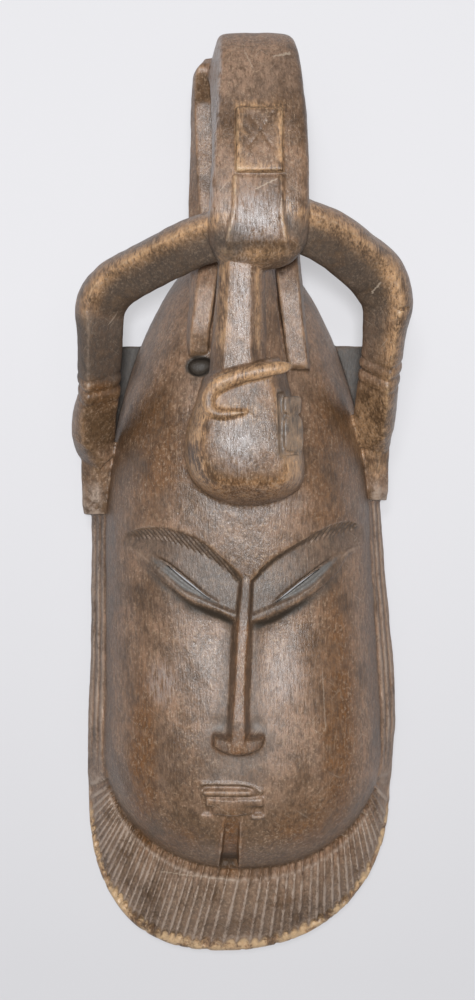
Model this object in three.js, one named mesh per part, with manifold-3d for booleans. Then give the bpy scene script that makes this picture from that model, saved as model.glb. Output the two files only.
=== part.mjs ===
// A carved wooden face mask with a bent-over figure as its crest, in millimetres.
// It lies on its back: the rim is on z = 0, the face looks to +Z, the crest points to +Y.
// It is one piece of wood, so everything below is joined into one solid.
import * as THREE from "three";
import Module from "manifold-3d";

const wasm = await Module();
wasm.setup();

// The sizes are worked out from the middle of the face. These two bring the outline's middle to the origin.
const OUTLINE_MIDDLE_X = -1.64;
const OUTLINE_MIDDLE_Y = -6.72;

// The convex face: a long shell, round at the chin and pointed at the top.
const FACE_HALF_WIDTH = 78.5;
const TEMPLE_HALF_WIDTH = 74.5;
const CHIN_Y = -206;
const JAW_Y = -135;
const TEMPLE_Y = -20;
const APEX_Y = 148;
const FOREHEAD_HEIGHT = 100;
const MOUTH_HEIGHT = 90;
const MOUTH_Y = -110;
const CROWN_Y = 20;
const FACE_SQUARENESS = 2.4;
const TEMPLE_SQUARENESS = 1.8;
const JAW_SQUARENESS = 2.15;
const CROWN_SQUARENESS = 2.2;
const CHIN_SQUARENESS = 2.6;
const WALL = 11;
const BELOW_RIM = -5;

// How deep the eyes are cut: the brow's bevel, the upper lid, the lens and its groove, and the rim below.
const BROW_DROP = 4.4;
const LID_DROP = 2.2;
const LENS_DROP = 2.7;
const GROOVE_DROP = 5.6;
const RIM_DROP = 0.3;
const LEAST_ROW = 0.5;

// The nose and the mouth.
const NOSE_TOP_Y = -41;
const NOSE_FLOOR = -5.8;
const WING_TOP_Y = -120.6;
const WING_PROUD = 8.8;
const WING_HALF = 14.6;
const LIP_END_Y = -164.9;
const CHIN_STRIP_END_Y = -199.5;
const CHIN_STRIP_DEPTH = 4.8;

// The collar round the face: side bands, the plate behind the hands, and the beard.
const COLLAR_HALF_WIDTH = 84.5;
const COLLAR_START_Y = -160;
const COLLAR_END_Y = -253;
const PLATE_TOP_Y = 86;
const PLATE_THICKNESS = 13;
const RIM_HEIGHT = 9;
const BAND_HEIGHT = 34;
const BEARD_HEIGHT = 45;
const LEFT_FLUTES = 25;
const RIGHT_FLUTES = 20;
const FLUTE_DEPTH = 2.4;
const BAND_GROOVE_DEPTH = 1.7;

// The bent-over figure.
const TORSO_THICKNESS = 24;
const LEG_TOP_Y = 229;
const LEG_SECTION_TOP = 10;
const LEG_SECTION_BOTTOM = -12;
const NECK_FACET_BOTTOM = 108;
const HEAD_BACK = 92;
const HAND_FALL = 0.85;

// A smooth curve through knots [at, value], level beyond its ends.
function through(...knots) {
  const last = knots.length - 1;
  const slope = (i) => {
    const [a, b] = [knots[Math.max(i - 1, 0)], knots[Math.min(i + 1, last)]];
    return (b[1] - a[1]) / (b[0] - a[0]);
  };
  return (at) => {
    if (at <= knots[0][0]) return knots[0][1];
    if (at >= knots[last][0]) return knots[last][1];
    const i = knots.findIndex((knot) => knot[0] >= at) - 1;
    const gap = knots[i + 1][0] - knots[i][0];
    const t = (at - knots[i][0]) / gap;
    const ease = t * t * (3 - 2 * t);
    const lean = t * (1 - t) * ((1 - t) * slope(i) - t * slope(i + 1));
    return knots[i][1] * (1 - ease) + knots[i + 1][1] * ease + lean * gap;
  };
}

const mix = (a, b, t) => a + (b - a) * t;
const steps = (count) => Array.from({ length: count + 1 }, (_, i) => i / count);
const oval = (t, power) => Math.max(1 - Math.abs(t) ** power, 0) ** (1 / power);
const bent = (value, power) => Math.sign(value) * Math.abs(value) ** (2 / power);
const { smoothstep } = THREE.MathUtils;

// A closed body from rings of equally many points, each end closed by a fan to the ring's middle.
function loft(rings) {
  const count = rings[0].length;
  const points = rings.flat();
  const ends = [rings[0], rings[rings.length - 1]];
  for (const ring of ends) {
    const middle = new THREE.Vector3();
    ring.forEach((point) => middle.addScaledVector(point, 1 / count));
    points.push(middle);
  }
  const index = [];
  const top = points.length - 1;
  const lastRing = (rings.length - 1) * count;
  for (let i = 0; i < count; i += 1) {
    const next = (i + 1) % count;
    index.push(top - 1, next, i, top, lastRing + i, lastRing + next);
    for (let row = 0; row < lastRing; row += count) {
      index.push(row + i, row + next, row + count + next, row + i, row + count + next, row + count + i);
    }
  }
  return solid(points, index);
}

// A manifold solid from shared points and triangles, turned to face outwards.
function solid(points, index) {
  let volume = 0;
  for (let i = 0; i < index.length; i += 3) {
    const [a, b, c] = [points[index[i]], points[index[i + 1]], points[index[i + 2]]];
    volume += a.dot(new THREE.Vector3().crossVectors(b, c));
  }
  if (volume < 0) index.reverse();
  const vertProperties = new Float32Array(points.flatMap((point) => [point.x, point.y, point.z]));
  return new wasm.Manifold(new wasm.Mesh({ numProp: 3, vertProperties, triVerts: new Uint32Array(index) }));
}

// A slice across the mask's length at y, from its points [x, z].
const slice = (y, outline) => outline.map(([x, z]) => new THREE.Vector3(x, y, z));

// A section of unit size, from round (power 2) to nearly square (power 6).
function roundSection(sides, power) {
  return Array.from({ length: sides }, (_, i) => {
    const angle = ((i + 0.5) / sides) * 2 * Math.PI;
    return [bent(Math.cos(angle), power), bent(Math.sin(angle), power)];
  });
}

// A section carried along a bent line. Each stop is [x, y, z, half width, half depth], and each ring
// stands on the line that halves its bend, widened there so that the bar keeps its width.
function barRings(stops, section, flip = 1) {
  const points = stops.map(([x, y, z]) => new THREE.Vector3(x, y, z));
  return points.map((point, i) => {
    const before = point.clone().sub(points[Math.max(i - 1, 0)]).normalize();
    const after = points[Math.min(i + 1, points.length - 1)].clone().sub(point).normalize();
    const along = before.clone().add(after).normalize();
    const across = new THREE.Vector3().crossVectors(along, new THREE.Vector3(0, 0, 1)).normalize();
    const up = new THREE.Vector3().crossVectors(across, along);
    const turn = before.lengthSq() && after.lengthSq() ? before.angleTo(after) / 2 : 0;
    across.multiplyScalar((flip * stops[i][3]) / Math.cos(turn));
    up.multiplyScalar(stops[i][4]);
    return section.map(([a, b]) => point.clone().addScaledVector(across, a).addScaledVector(up, b));
  });
}

const bar = (stops, section) => loft(barRings(stops, section));

// Half the face's width and its height over the rim, at a place along its length.
function faceHalfWidth(y) {
  if (y > TEMPLE_Y) return TEMPLE_HALF_WIDTH * oval((y - TEMPLE_Y) / (APEX_Y - TEMPLE_Y), TEMPLE_SQUARENESS);
  if (y < JAW_Y) return FACE_HALF_WIDTH * oval((JAW_Y - y) / (JAW_Y - CHIN_Y), JAW_SQUARENESS);
  return mix(TEMPLE_HALF_WIDTH, FACE_HALF_WIDTH, (TEMPLE_Y - y) / (TEMPLE_Y - JAW_Y));
}

function faceHeight(y) {
  if (y > CROWN_Y) return FOREHEAD_HEIGHT * oval((y - CROWN_Y) / (APEX_Y - CROWN_Y), CROWN_SQUARENESS);
  if (y < MOUTH_Y) return MOUTH_HEIGHT * oval((MOUTH_Y - y) / (MOUTH_Y - CHIN_Y), CHIN_SQUARENESS);
  return mix(MOUTH_HEIGHT, FOREHEAD_HEIGHT, smoothstep(y, MOUTH_Y, CROWN_Y));
}

// The shell leans a little to the left towards its top.
const faceMiddle = through([-110, 0], [-20, -2.7]);

// A point over the smooth face at (x, y), lifted square to the surface.
function onFace(x, y, lift = 0) {
  const level = (px, py) => faceHeight(py) * oval((px - faceMiddle(py)) / faceHalfWidth(py), FACE_SQUARENESS);
  const d = 0.5;
  const [fallX, fallY] = [level(x - d, y) - level(x + d, y), level(x, y - d) - level(x, y + d)];
  const normal = new THREE.Vector3(fallX, fallY, 2 * d);
  return new THREE.Vector3(x, y, level(x, y)).addScaledVector(normal.normalize(), lift);
}

// The carved lines across the eyes, as y over x: the brow's upper edge, the foot of its bevel, the upper lid,
// and the inner and outer edge of the rim under the eye.
const browLine = through(
  [-73, -24], [-62, -17.6], [-50, -14.2], [-35, -15.6], [-17.2, -24.3], [-1.1, -39], [1.8, -42.7],
  [6.2, -39], [21.8, -26.1], [41, -15.1], [55, -11.6], [73, -20],
);
const bevelLine = through(
  [-73, -25], [-63.6, -21.3], [-42.6, -21.4], [-21.7, -28.9], [-6.1, -39.9], [1.8, -45.6],
  [8.9, -39.5], [26.3, -26.7], [47.5, -19.3], [63.7, -16.9], [73, -21],
);
const lidLine = through(
  [-73, -26], [-59.9, -22.5], [-39.8, -33.1], [-17.3, -50.3], [1.5, -58.9], [14, -54.5], [31.4, -41.1],
  [57.6, -24.5], [73, -22],
);
const rimInnerLine = through(
  [-73, -27], [-59.9, -23.9], [-39.8, -38.9], [-22.4, -50.1], [1.5, -59.4], [20.1, -52.2], [43.9, -36.8],
  [57, -25.6], [73, -23],
);
const rimOuterLine = through(
  [-73, -28], [-60.5, -25.7], [-41.3, -43.1], [-17.3, -56.1], [1.5, -63.3], [29.1, -53.2], [50.2, -38],
  [57, -28.2], [73, -25],
);

// The step under the eye, by how far it is from the nose: how deep it is cut, and how wide its slope is.
const stepDepth = through([5, 3], [11, 4.8], [18, 4.8], [28, 3.1], [45, 1.7], [60, 1]);
const stepWidth = through([5, 1.2], [11, 4.2], [17, 4.8], [25, 3.2], [34, 2], [46, 1.1]);
const fromNose = (x) => Math.abs(x - 1.5);
const lensShare = (x) => smoothstep(fromNose(x), 12, 19) * (1 - smoothstep(fromNose(x), 40, 52));
const eyeShare = (x) => 1 - smoothstep(Math.abs(x), 57, 67);

// The rows of the face from chin to apex: where each runs, how far it is cut in, and how many rows follow.
const faceRows = [
  { y: () => CHIN_Y + 0.2, rows: 6, end: true },
  { y: () => MOUTH_Y, rows: 2 },
  { y: (x) => rimOuterLine(x) - 26, drop: (x) => stepDepth(fromNose(x)) * 0.5 },
  { y: (x) => rimOuterLine(x) - stepWidth(fromNose(x)), drop: (x) => stepDepth(fromNose(x)) },
  { y: rimOuterLine, drop: () => RIM_DROP },
  { y: rimInnerLine, drop: () => RIM_DROP },
  { y: (x) => rimInnerLine(x) + 1, drop: (x) => mix(LID_DROP, LENS_DROP, lensShare(x)) },
  { y: (x) => lidLine(x) - 1, drop: (x) => mix(LID_DROP, GROOVE_DROP, lensShare(x)) },
  { y: lidLine, drop: () => LID_DROP, rows: 2 },
  { y: bevelLine, drop: () => BROW_DROP },
  { y: browLine, rows: 2 },
  { y: () => CROWN_Y, rows: 7, end: true },
  { y: () => APEX_Y - 0.2 },
];

function face() {
  const columns = steps(26).map((t) => (t - 0.5) * Math.PI);
  let reached = columns.map(() => -Infinity);
  const row = (yAt, dropAt) => columns.map((angle, column) => {
    const across = bent(Math.sin(angle), FACE_SQUARENESS);
    const y = Math.max(yAt(across * FACE_HALF_WIDTH), reached[column] + LEAST_ROW);
    reached[column] = y;
    const x = faceMiddle(y) + across * faceHalfWidth(y);
    const z = faceHeight(y) * bent(Math.cos(angle), FACE_SQUARENESS);
    const out = new THREE.Vector3(Math.sin(angle), 0, Math.cos(angle)).normalize();
    return new THREE.Vector3(x, y, z).addScaledVector(out, -dropAt(x) * eyeShare(x));
  });
  const noDrop = () => 0;
  const rings = [];
  faceRows.forEach((from, i) => {
    const to = faceRows[i + 1] ?? from;
    const [fromDrop, toDrop] = [from.drop ?? noDrop, to.drop ?? noDrop];
    for (const t of steps(from.rows ?? 1).slice(0, -1)) {
      // Rows crowd towards the chin and the apex, where the shell turns down.
      const crowded = i === 0 ? 1 - Math.cos((t * Math.PI) / 2) : Math.sin((t * Math.PI) / 2);
      const share = from.end ? crowded : t;
      rings.push(row((x) => mix(from.y(x), to.y(x), share), (x) => mix(fromDrop(x), toDrop(x), share)));
    }
  });
  return loft(rings);
}

// The hollow behind the face, open at the rim.
function hollow() {
  const angles = steps(12).map((t) => (t - 0.5) * Math.PI);
  const [from, to] = [CHIN_Y + WALL + 4, APEX_Y - WALL - 6];
  const narrow = WALL * 2.4;
  const rings = steps(14).map((t) => {
    const y = mix(from, to, (1 - Math.cos(t * Math.PI)) / 2);
    const outerY = mix(CHIN_Y, APEX_Y, (y - from) / (to - from));
    const halfWidth = Math.max(faceHalfWidth(outerY) - WALL, 1);
    const height = Math.max(faceHeight(outerY) - WALL, 1) * Math.min(1, halfWidth / narrow);
    const middle = faceMiddle(outerY);
    const arc = angles.map((angle) => {
      const across = halfWidth * bent(Math.sin(angle), FACE_SQUARENESS);
      return [middle + across, height * bent(Math.cos(angle), FACE_SQUARENESS)];
    });
    return slice(y, [...arc, [middle + halfWidth, BELOW_RIM], [middle - halfWidth, BELOW_RIM]]);
  });
  return loft(rings);
}

// An eye slit: a narrow cut along the upper lid, right through the wall.
function eyeSlit(fromX, toX) {
  const [top, bottom] = [120, 30];
  const rings = steps(8).map((t) => {
    const x = mix(fromX, toX, t);
    const half = 0.35 + 0.4 * Math.sin(Math.PI * t);
    const y = lidLine(x) - 1.1;
    return [[1, top], [-1, top], [-1, bottom], [1, bottom]].map(
      ([sign, z]) => new THREE.Vector3(x, y + sign * half, z),
    );
  });
  return loft(rings);
}

// One slice through the collar, from its foot over the rim and the top down to its inner foot. Its top rises
// by the sine of the share across. A flute sinks it between rim and face, and grooves sink every other point.
const COLLAR_SHARES = [0.04, 0.2, 0.31, 0.42, 0.53, 0.64, 1];

function collarSlice(outer, inner, rim, top, flute, groove) {
  const last = COLLAR_SHARES.length - 1;
  const points = [new THREE.Vector3(...outer, 0), new THREE.Vector3(...outer, rim - 1)];
  COLLAR_SHARES.forEach((share, i) => {
    const inside = i > 0 && i < last;
    const sunk = inside ? flute + (i % 2) * groove : 0;
    const z = mix(rim, top, Math.sin((share * Math.PI) / 2)) - sunk;
    points.push(new THREE.Vector3(mix(outer[0], inner[0], share), mix(outer[1], inner[1], share), z));
  });
  points.push(new THREE.Vector3(...inner, 0));
  return points;
}

const bandOuter = [
  through([-160, -87], [-115, -86.3], [-90, -85.2], [-20, -84.6], [86, -83.5]),
  through([-160, 83], [-110, 85.5], [-10, 77.5], [86, 76]),
];

// A slice of the side band, or of the plate above it.
function bandSlice(side, y) {
  const sign = side ? 1 : -1;
  const plate = smoothstep(y, 10, 34);
  const tip = smoothstep(y, -157, -120);
  const outer = [bandOuter[side](y), y];
  const inner = [faceMiddle(y) + sign * (faceHalfWidth(y) - 7), y];
  const rim = mix(RIM_HEIGHT + 3, PLATE_THICKNESS - 1, plate);
  const top = mix(BAND_HEIGHT, PLATE_THICKNESS, plate);
  return collarSlice(outer, inner, rim, top, 0, BAND_GROOVE_DEPTH * tip * (1 - plate));
}

// The slices round the chin: both edges are superellipses, and a ridge stands at each end of a flute.
function beardSlices() {
  const slices = [];
  const addSlice = (share, flute) => {
    const angle = Math.PI * (1 + share);
    const fall = Math.abs(bent(Math.sin(angle), 2.35));
    const innerFall = Math.abs(bent(Math.sin(angle), 2.3));
    const outerX = -2 - 10 * fall * fall + COLLAR_HALF_WIDTH * bent(Math.cos(angle), 2.35);
    const outer = [outerX, mix(COLLAR_START_Y, COLLAR_END_Y, fall)];
    const inner = [70 * bent(Math.cos(angle), 2.3), mix(COLLAR_START_Y + 10, CHIN_Y + 12, innerFall)];
    const top = mix(BAND_HEIGHT, BEARD_HEIGHT, fall * fall);
    slices.push(collarSlice(outer, inner, RIM_HEIGHT, top, flute, 0));
  };
  [[0, LEFT_FLUTES], [0.5, RIGHT_FLUTES]].forEach(([start, count]) => {
    for (let i = 0; i < count; i += 1) {
      addSlice(start + (0.5 * i) / count, 0);
      addSlice(start + (0.5 * (i + 0.5)) / count, FLUTE_DEPTH);
    }
  });
  addSlice(1, 0);
  return slices;
}

// The collar: up the left side, round the chin and up the right side.
function collar() {
  const upwards = [PLATE_TOP_Y, 60, 34, 22, 10, -20, -60, -100, -135, -150];
  const left = upwards.map((y) => bandSlice(0, y));
  const right = upwards.map((y) => bandSlice(1, y)).reverse();
  return loft([...left, ...beardSlices(), ...right]);
}

// The ear blocks under the hands: a roof with a ridge near its outer side, rising towards the hand.
function earBlock(x, upperY, lowerY, half) {
  const outline = [[-1, -26], [-1, -6], [-0.2, 0], [0.1, 0], [1, -5], [1, -26]];
  const stops = [[upperY, 44, 1], [mix(upperY, lowerY, 0.85), 35.5, 1], [lowerY, 33, 0.9]];
  return loft(stops.map(([y, z, share]) => slice(
    y, outline.map(([across, level]) => [x - across * half * share * Math.sign(x), z + level]),
  )));
}

// The nose's ridge grows out of the forehead and is proud of the cheeks by nearly a centimetre at its end.
const noseAxis = through([-127, -2.4], [-100, -1.8], [-60, 0.3], [-41, 1.8]);
const noseHalfRidge = through([-124, 3.1], [-100, 2.6], [-60, 2.4], [-41, 2.1]);
const noseHalfBase = through([-118, 7.4], [-100, 6.8], [-60, 5.7], [-41, 3.8]);
const noseProud = through([-133, 8.6], [-122, 9.6], [-112, 9.8], [-80, 6.4], [-55, 2.2], [-41, 0]);

function noseRidge() {
  const rings = [NOSE_TOP_Y, -50, -60, -80, -100, -112, -120, -128, -131.5].map((y) => {
    const x = noseAxis(y);
    const surface = onFace(x, y).z;
    const [base, ridge, proud] = [noseHalfBase(y), noseHalfRidge(y), surface + noseProud(y)];
    const floor = surface + NOSE_FLOOR;
    return slice(y, [
      [x - base, floor], [x - ridge - 0.5, proud - 0.5], [x - ridge + 0.4, proud],
      [x + ridge - 0.4, proud], [x + ridge + 0.5, proud - 0.5], [x + base, floor],
    ]);
  });
  return loft(rings);
}

// The nose's wings: a bar across the face with a nearly level upper edge and a lower edge that is an arc.
function noseWings() {
  const rings = steps(10).map((t) => {
    const off = mix(-WING_HALF, WING_HALF, t);
    const x = off - 2.2;
    const endY = -132.7 + 5.7 * (off / 14) ** 2;
    const proud = WING_PROUD - 0.017 * off * off;
    const profile = [
      [WING_TOP_Y, NOSE_FLOOR], [WING_TOP_Y - 2.4, proud], [endY + 2.6, proud - 0.4],
      [endY + 0.8, proud - 2.6], [endY, NOSE_FLOOR],
    ];
    return profile.map(([y, rise]) => new THREE.Vector3(x, y, onFace(x, y).z + rise));
  });
  return loft(rings);
}

// A lip: a bar across the face, lower at its ends.
function lip(left, right, upper, lower, proud) {
  const middle = (upper + lower) / 2;
  const rings = steps(8).map((t) => {
    const full = Math.min(1, 0.55 + 3.2 * Math.min(t, 1 - t));
    const half = ((upper - lower) / 2) * full;
    const profile = [[1, -4], [1, 0.6 * proud], [0.5, proud], [-0.5, proud], [-1, 0.6 * proud], [-1, -4]];
    return profile.map(([across, rise]) => onFace(mix(left, right, t), middle + across * half, rise));
  });
  return loft(rings);
}

// The chin strip: a channel that sinks from the lower lip into the chin.
function chinChannel() {
  const rings = steps(6).map((t) => {
    const y = mix(LIP_END_Y, CHIN_STRIP_END_Y, t);
    const [x, half] = [mix(-5.4, -7.6, t), mix(3.4, 4.8, t)];
    const depth = Math.max(CHIN_STRIP_DEPTH * t ** 0.7, 0.2);
    const outline = [[-half, 5], [half, 5], [half, -depth], [-half, -depth]];
    return outline.map(([dx, lift]) => onFace(x + dx, y, lift));
  });
  return loft(rings);
}

// The figure's body: a thick band that runs up from the chest, over the hips and down behind them. Its sides
// and the lean of its left side are given over the share of the way along its path.
const torsoPath = [
  [122, 122], [126, 130], [133, 135], [147, 138], [172, 134], [203, 126], [219, 117], [227, 103],
  [226, 87], [218, 75],
];
const torsoLeft = through(
  [0, -15], [0.1, -17.2], [0.22, -16.6], [0.34, -15.2], [0.58, -12.3], [0.8, -12.4], [1, -14],
);
const torsoRight = through(
  [0, 27], [0.08, 31.8], [0.34, 32.4], [0.58, 31], [0.76, 27.8], [0.86, 25.5], [1, 24],
);
const torsoFlare = through([0.3, 0], [0.5, 3.5], [0.7, 6.4], [1, 7]);
const torsoHalfDepth = through(
  [0, 4.5], [0.04, 8.5], [0.12, TORSO_THICKNESS / 2], [0.9, TORSO_THICKNESS / 2], [1, 9],
);
const torsoCurve = new THREE.CatmullRomCurve3(
  torsoPath.map(([y, z]) => new THREE.Vector3(0, y, z)), false, "centripetal",
);

function torso() {
  const rings = steps(20).map((t) => {
    const point = torsoCurve.getPointAt(t);
    const along = torsoCurve.getTangentAt(t);
    const [left, right] = [torsoLeft(t), torsoRight(t)];
    const power = mix(3.2, 6, smoothstep(t, 0.1, 0.34));
    return roundSection(16, power).map(([across, front]) => {
      const flare = across < 0 ? (torsoFlare(t) * -across * (1 - front)) / 2 : 0;
      const x = (left + right) / 2 + ((right - left) / 2) * across - flare;
      const out = front * torsoHalfDepth(t);
      return new THREE.Vector3(x, point.y - along.z * out, point.z + along.y * out);
    });
  });
  return loft(rings);
}

// The strap down the chest, and the raised amulet panel at its upper end with its two crossed cuts.
const chestFront = through(
  [118, 135], [122, 141], [131, 147], [141, 150], [172, 146], [203, 137.5], [222, 127],
);
const PANEL_START_Y = 161;

function strap() {
  const rings = [118, 122, 127, 134, 146, 158.5, 160, PANEL_START_Y, 178, 193, 195].map((y) => {
    const onPanel = y >= PANEL_START_Y;
    const halfWidth = onPanel ? 11.6 : mix(17.5, 12.6, smoothstep(y, 118, 146));
    const x = onPanel ? 7.9 : mix(6.2, 7.4, smoothstep(y, 118, 158));
    const groove = y === 160 ? 2.2 : 0;
    const end = y === 195 || y === 118 ? 2.6 : 0;
    const top = chestFront(y) + (onPanel ? 2.8 : 1.5) - groove - end;
    const dip = onPanel ? 0 : 0.9;
    return slice(y, [
      [-1, -7], [-1, -1.4], [-0.86, 0], [-0.76, -dip], [0.76, -dip], [0.86, 0], [1, -1.4], [1, -7],
    ].map(([across, rise]) => [x + across * halfWidth, top + rise]));
  });
  return loft(rings);
}

function panelCut(fromX, toX) {
  const rings = steps(2).map((t) => {
    const [x, y] = [mix(fromX, toX, t), mix(172, 191, t)];
    const top = chestFront(y) + 2.3;
    return slice(y, [[x - 1.3, top + 1.6], [x + 1.3, top + 1.6], [x, top - 0.8]]);
  });
  return loft(rings);
}

// The legs: two bars from the hips down on to the face. Each has an outer side, the arris of its front, an
// inner side and the level that its section stands on.
const LEG_UPPER_LEVELS = [[135, 80], [150, 76.5], [206, 77], [219, 89], [229, 90]];
const legs = {
  left: {
    foot: 74.6,
    outer: through([66, -28.5], [81, -29.3], [119, -27.5], [150, -28.6], [190, -27.6], [220, -25.8], [229, -20]),
    arris: through([66, -26.8], [81, -27.5], [119, -23.3], [150, -22.6], [190, -24.9], [220, -24.4], [229, -19]),
    inner: through([66, -17], [81, -17.9], [119, -13.1], [150, -11], [180, -9.8], [212, -9.4], [229, -6]),
    level: through([66, 80], [76, 81.5], [88, 86], [108, 86.5], ...LEG_UPPER_LEVELS),
  },
  right: {
    foot: 68,
    outer: through([66, 35.5], [117, 30.5], [150, 29.5], [162, 27.5], [205, 26], [229, 22]),
    arris: through([66, 34], [117, 28.8], [150, 27.5], [205, 24], [229, 20]),
    inner: through([66, 24], [117, 17.2], [150, 16.2], [212, 16], [229, 13]),
    level: through([66, 81], [80, 82.5], [108, 85], ...LEG_UPPER_LEVELS),
  },
};

function leg({ foot, outer, arris, inner, level }) {
  const along = [foot, foot + 2, 82, 95, 108, 122, 136, 150, 170, 190, 206, 213, 220, 226, LEG_TOP_Y];
  const rings = along.map((y) => {
    const fall = y === LEG_TOP_Y ? 7 : y === foot ? 1.6 : 0;
    const [top, bottom] = [level(y) + LEG_SECTION_TOP - fall, level(y) + LEG_SECTION_BOTTOM];
    return slice(y, [
      [outer(y), bottom], [outer(y), level(y) + 2], [arris(y), top], [inner(y), top - 0.5],
      [inner(y), bottom],
    ]);
  });
  return loft(rings);
}

// The round pit that is drilled at the left foot.
function footPit() {
  const rings = [[104, 1.05], [81, 1], [78.5, 0.7]].map(([z, share]) => roundSection(14, 2).map(
    ([across, up]) => new THREE.Vector3(-22.6 + 6.3 * share * across, 69.4 + 4.9 * share * up, z),
  ));
  return loft(rings);
}

// An arm: one bar from the shoulder out to the elbow, and forward along the side of the face to the hand. A
// ridge runs along it nearer to its outer side. The hand's end falls away beyond a slanting line, y over x.
const ARM_SECTION = [
  [1, -0.2], [0.76, 0.7], [0.5, 1], [0.28, 0.98], [-0.88, 0.04], [-1, -0.3], [-0.84, -0.8], [-0.3, -1],
  [0.5, -0.98], [0.92, -0.66],
];
const arms = {
  left: {
    stops: [
      [-6, 134.5, 134, 12.5, 10.5], [-28, 128, 123, 12.5, 10.5], [-54, 117.5, 104, 12.5, 10.5],
      [-67, 111, 95, 13, 10.5], [-74, 101.5, 89, 13.4, 10.5], [-75, 88, 83, 12, 10.5], [-76, 72, 74, 11.6, 10.5],
      [-77, 57, 65, 10.8, 10.5], [-80, 45, 55, 11.6, 10.5], [-80.5, 31, 46, 11.6, 8.5], [-77, 22, 40, 9, 8.5],
    ],
    handStart: -37,
    handSlope: -0.774,
    wrist: [[-76.6, 64, 69.5], [-77, 57.5, 65.5]],
  },
  right: {
    stops: [
      [20, 140, 134, 13.5, 10.5], [42, 133, 123, 14, 10.5], [60, 123, 105, 14.5, 10.5],
      [69.5, 115.5, 95, 15, 10.5], [75, 104, 89, 13.8, 10.5], [74.5, 90, 82, 11.6, 10.5],
      [73.3, 75, 74, 11, 10.5], [72, 62, 66, 10.8, 10.5], [71.4, 50, 56, 11.2, 10.5], [71, 38, 47, 11, 8.5],
      [72.5, 30, 41, 8.5, 8.5],
    ],
    handStart: -22.6,
    handSlope: 0.73,
    wrist: [[73, 71, 71.6], [72.2, 64.5, 67.5]],
  },
};

function arm({ stops, handStart, handSlope }, flip) {
  const rings = barRings(stops, ARM_SECTION, flip);
  rings.flat().forEach((point) => {
    point.z -= HAND_FALL * Math.max(handStart + handSlope * point.x - point.y, 0);
  });
  return loft(rings);
}

// A narrow ring that is left standing round the wrist.
function wristRing([x, y, z]) {
  const profile = [[-2.1, -0.6], [-1, 0.4], [1, 0.4], [2.1, -0.6]];
  const stops = profile.map(([dy, grow]) => [x, y + dy, z + dy * 0.6, 11.2 + grow, 10.5 + grow]);
  return bar(stops, roundSection(10, 2.6));
}

// The neck, with a flat front between two bevels, and the low facet on its right.
function neck() {
  const section = [
    [1, -0.3], [0.86, 0.52], [0.52, 0.97], [-0.46, 0.97], [-0.84, 0.5], [-1, -0.3], [-0.6, -1], [0.6, -1],
  ];
  return bar([
    [0, 132, 127, 8, 7], [-0.6, 122, 128.5, 10.8, 11], [-1.2, 108, 127, 11.9, 12.5], [-1.9, 90, 124, 12.7, 13.4],
    [-2.4, 72, 121, 13.8, 15], [-2.7, 52, 118, 15.2, 16],
  ], section);
}

function neckFacet() {
  const edge = through([58, 22.5], [69, 21], [108, 16], [124, 13]);
  const rings = [58, 70, 90, 108, 124].map((y) => {
    const t = (124 - y) / 66;
    return slice(y, [
      [0, NECK_FACET_BOTTOM], [0, mix(130, 126, t)], [9, mix(127, 123, t)], [edge(y), mix(114, 111, t)],
      [edge(y), NECK_FACET_BOTTOM],
    ]);
  });
  return loft(rings);
}

// The head, which hangs down and rests on the forehead. Its top runs slanting over the neck.
const headLeft = through(
  [-2.6, -3], [0, -11.5], [7, -21.5], [20, -27.3], [30, -27.8], [40, -26], [50, -22.6], [60, -21], [67.8, -19.5],
);
const headRight = through([-2.6, 8], [0, 18], [7, 27.5], [20, 29.6], [43, 26.3], [55, 22.5], [67.8, 18]);
const headFront = through(
  [-2.6, 104], [0, 120], [5, 131.5], [17, 138.5], [30, 140], [50, 139], [66, 136.5], [67.8, 132],
);

function head() {
  const outline = [
    [-1, -1], [-1.01, -0.1], [-0.98, 0.3], [-0.82, 0.74], [-0.58, 0.95], [0, 1], [0.54, 0.96], [0.76, 0.8],
    [0.98, 0.3], [1.01, -0.1], [1, -1],
  ];
  const rings = [-2.6, -1.4, 1, 5, 10, 18, 30, 42, 54, 62, 66.4, 67.8].map((y) => {
    const [left, right] = [headLeft(y), headRight(y)];
    const half = (headFront(y) - HEAD_BACK) / 2;
    return outline.map(([across, up]) => {
      const x = (left + right) / 2 + ((right - left) / 2) * across;
      return new THREE.Vector3(x, y + 0.25 * x * smoothstep(y, 48, 66), HEAD_BACK + half + half * up);
    });
  });
  return loft(rings);
}

// The space cut out of the head's side, and the two flat lobes of the ear that stand in it.
function earNotch() {
  const corners = [[17.8, 21.2], [40, 24.5], [40, 56], [16.8, 53.4]];
  const rings = [[141.4, 0], [190, 4]].map(([z, lean]) => corners.map(
    ([x, y]) => new THREE.Vector3(x, y + lean, z - 0.62 * x),
  ));
  return loft(rings);
}

function earLobe([x, y, z], [halfWidth, halfLength]) {
  const levels = [[-6, 1], [-0.3, 1], [0.3, 0.8]];
  return loft(levels.map(([rise, share]) => roundSection(12, 5).map(([across, up]) => {
    const dx = halfWidth * share * across;
    return new THREE.Vector3(x + dx, y + halfLength * share * up, z + rise - 0.75 * dx);
  })));
}

// The curled lock that crosses the nape and hooks round on the head's crown.
function lock() {
  const line = [
    [24.4, 66.6, 135.5], [13, 64.6, 139], [2.8, 62.6, 139.8], [-10.5, 58, 138.5], [-16.8, 51.5, 136.4],
    [-14.4, 43.5, 137.6], [-5.6, 42.5, 139.8], [1.6, 43.6, 140],
  ];
  const points = line.map((point) => new THREE.Vector3(...point));
  const curve = new THREE.CatmullRomCurve3(points, false, "centripetal");
  const radius = through([0, 1.2], [0.1, 3.4], [0.4, 3.9], [0.62, 4], [0.78, 3], [0.92, 1.7], [1, 0.6]);
  const stops = steps(14).map((t) => [...curve.getPointAt(t).toArray(), radius(t), radius(t)]);
  return bar(stops, roundSection(7, 2));
}

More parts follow.
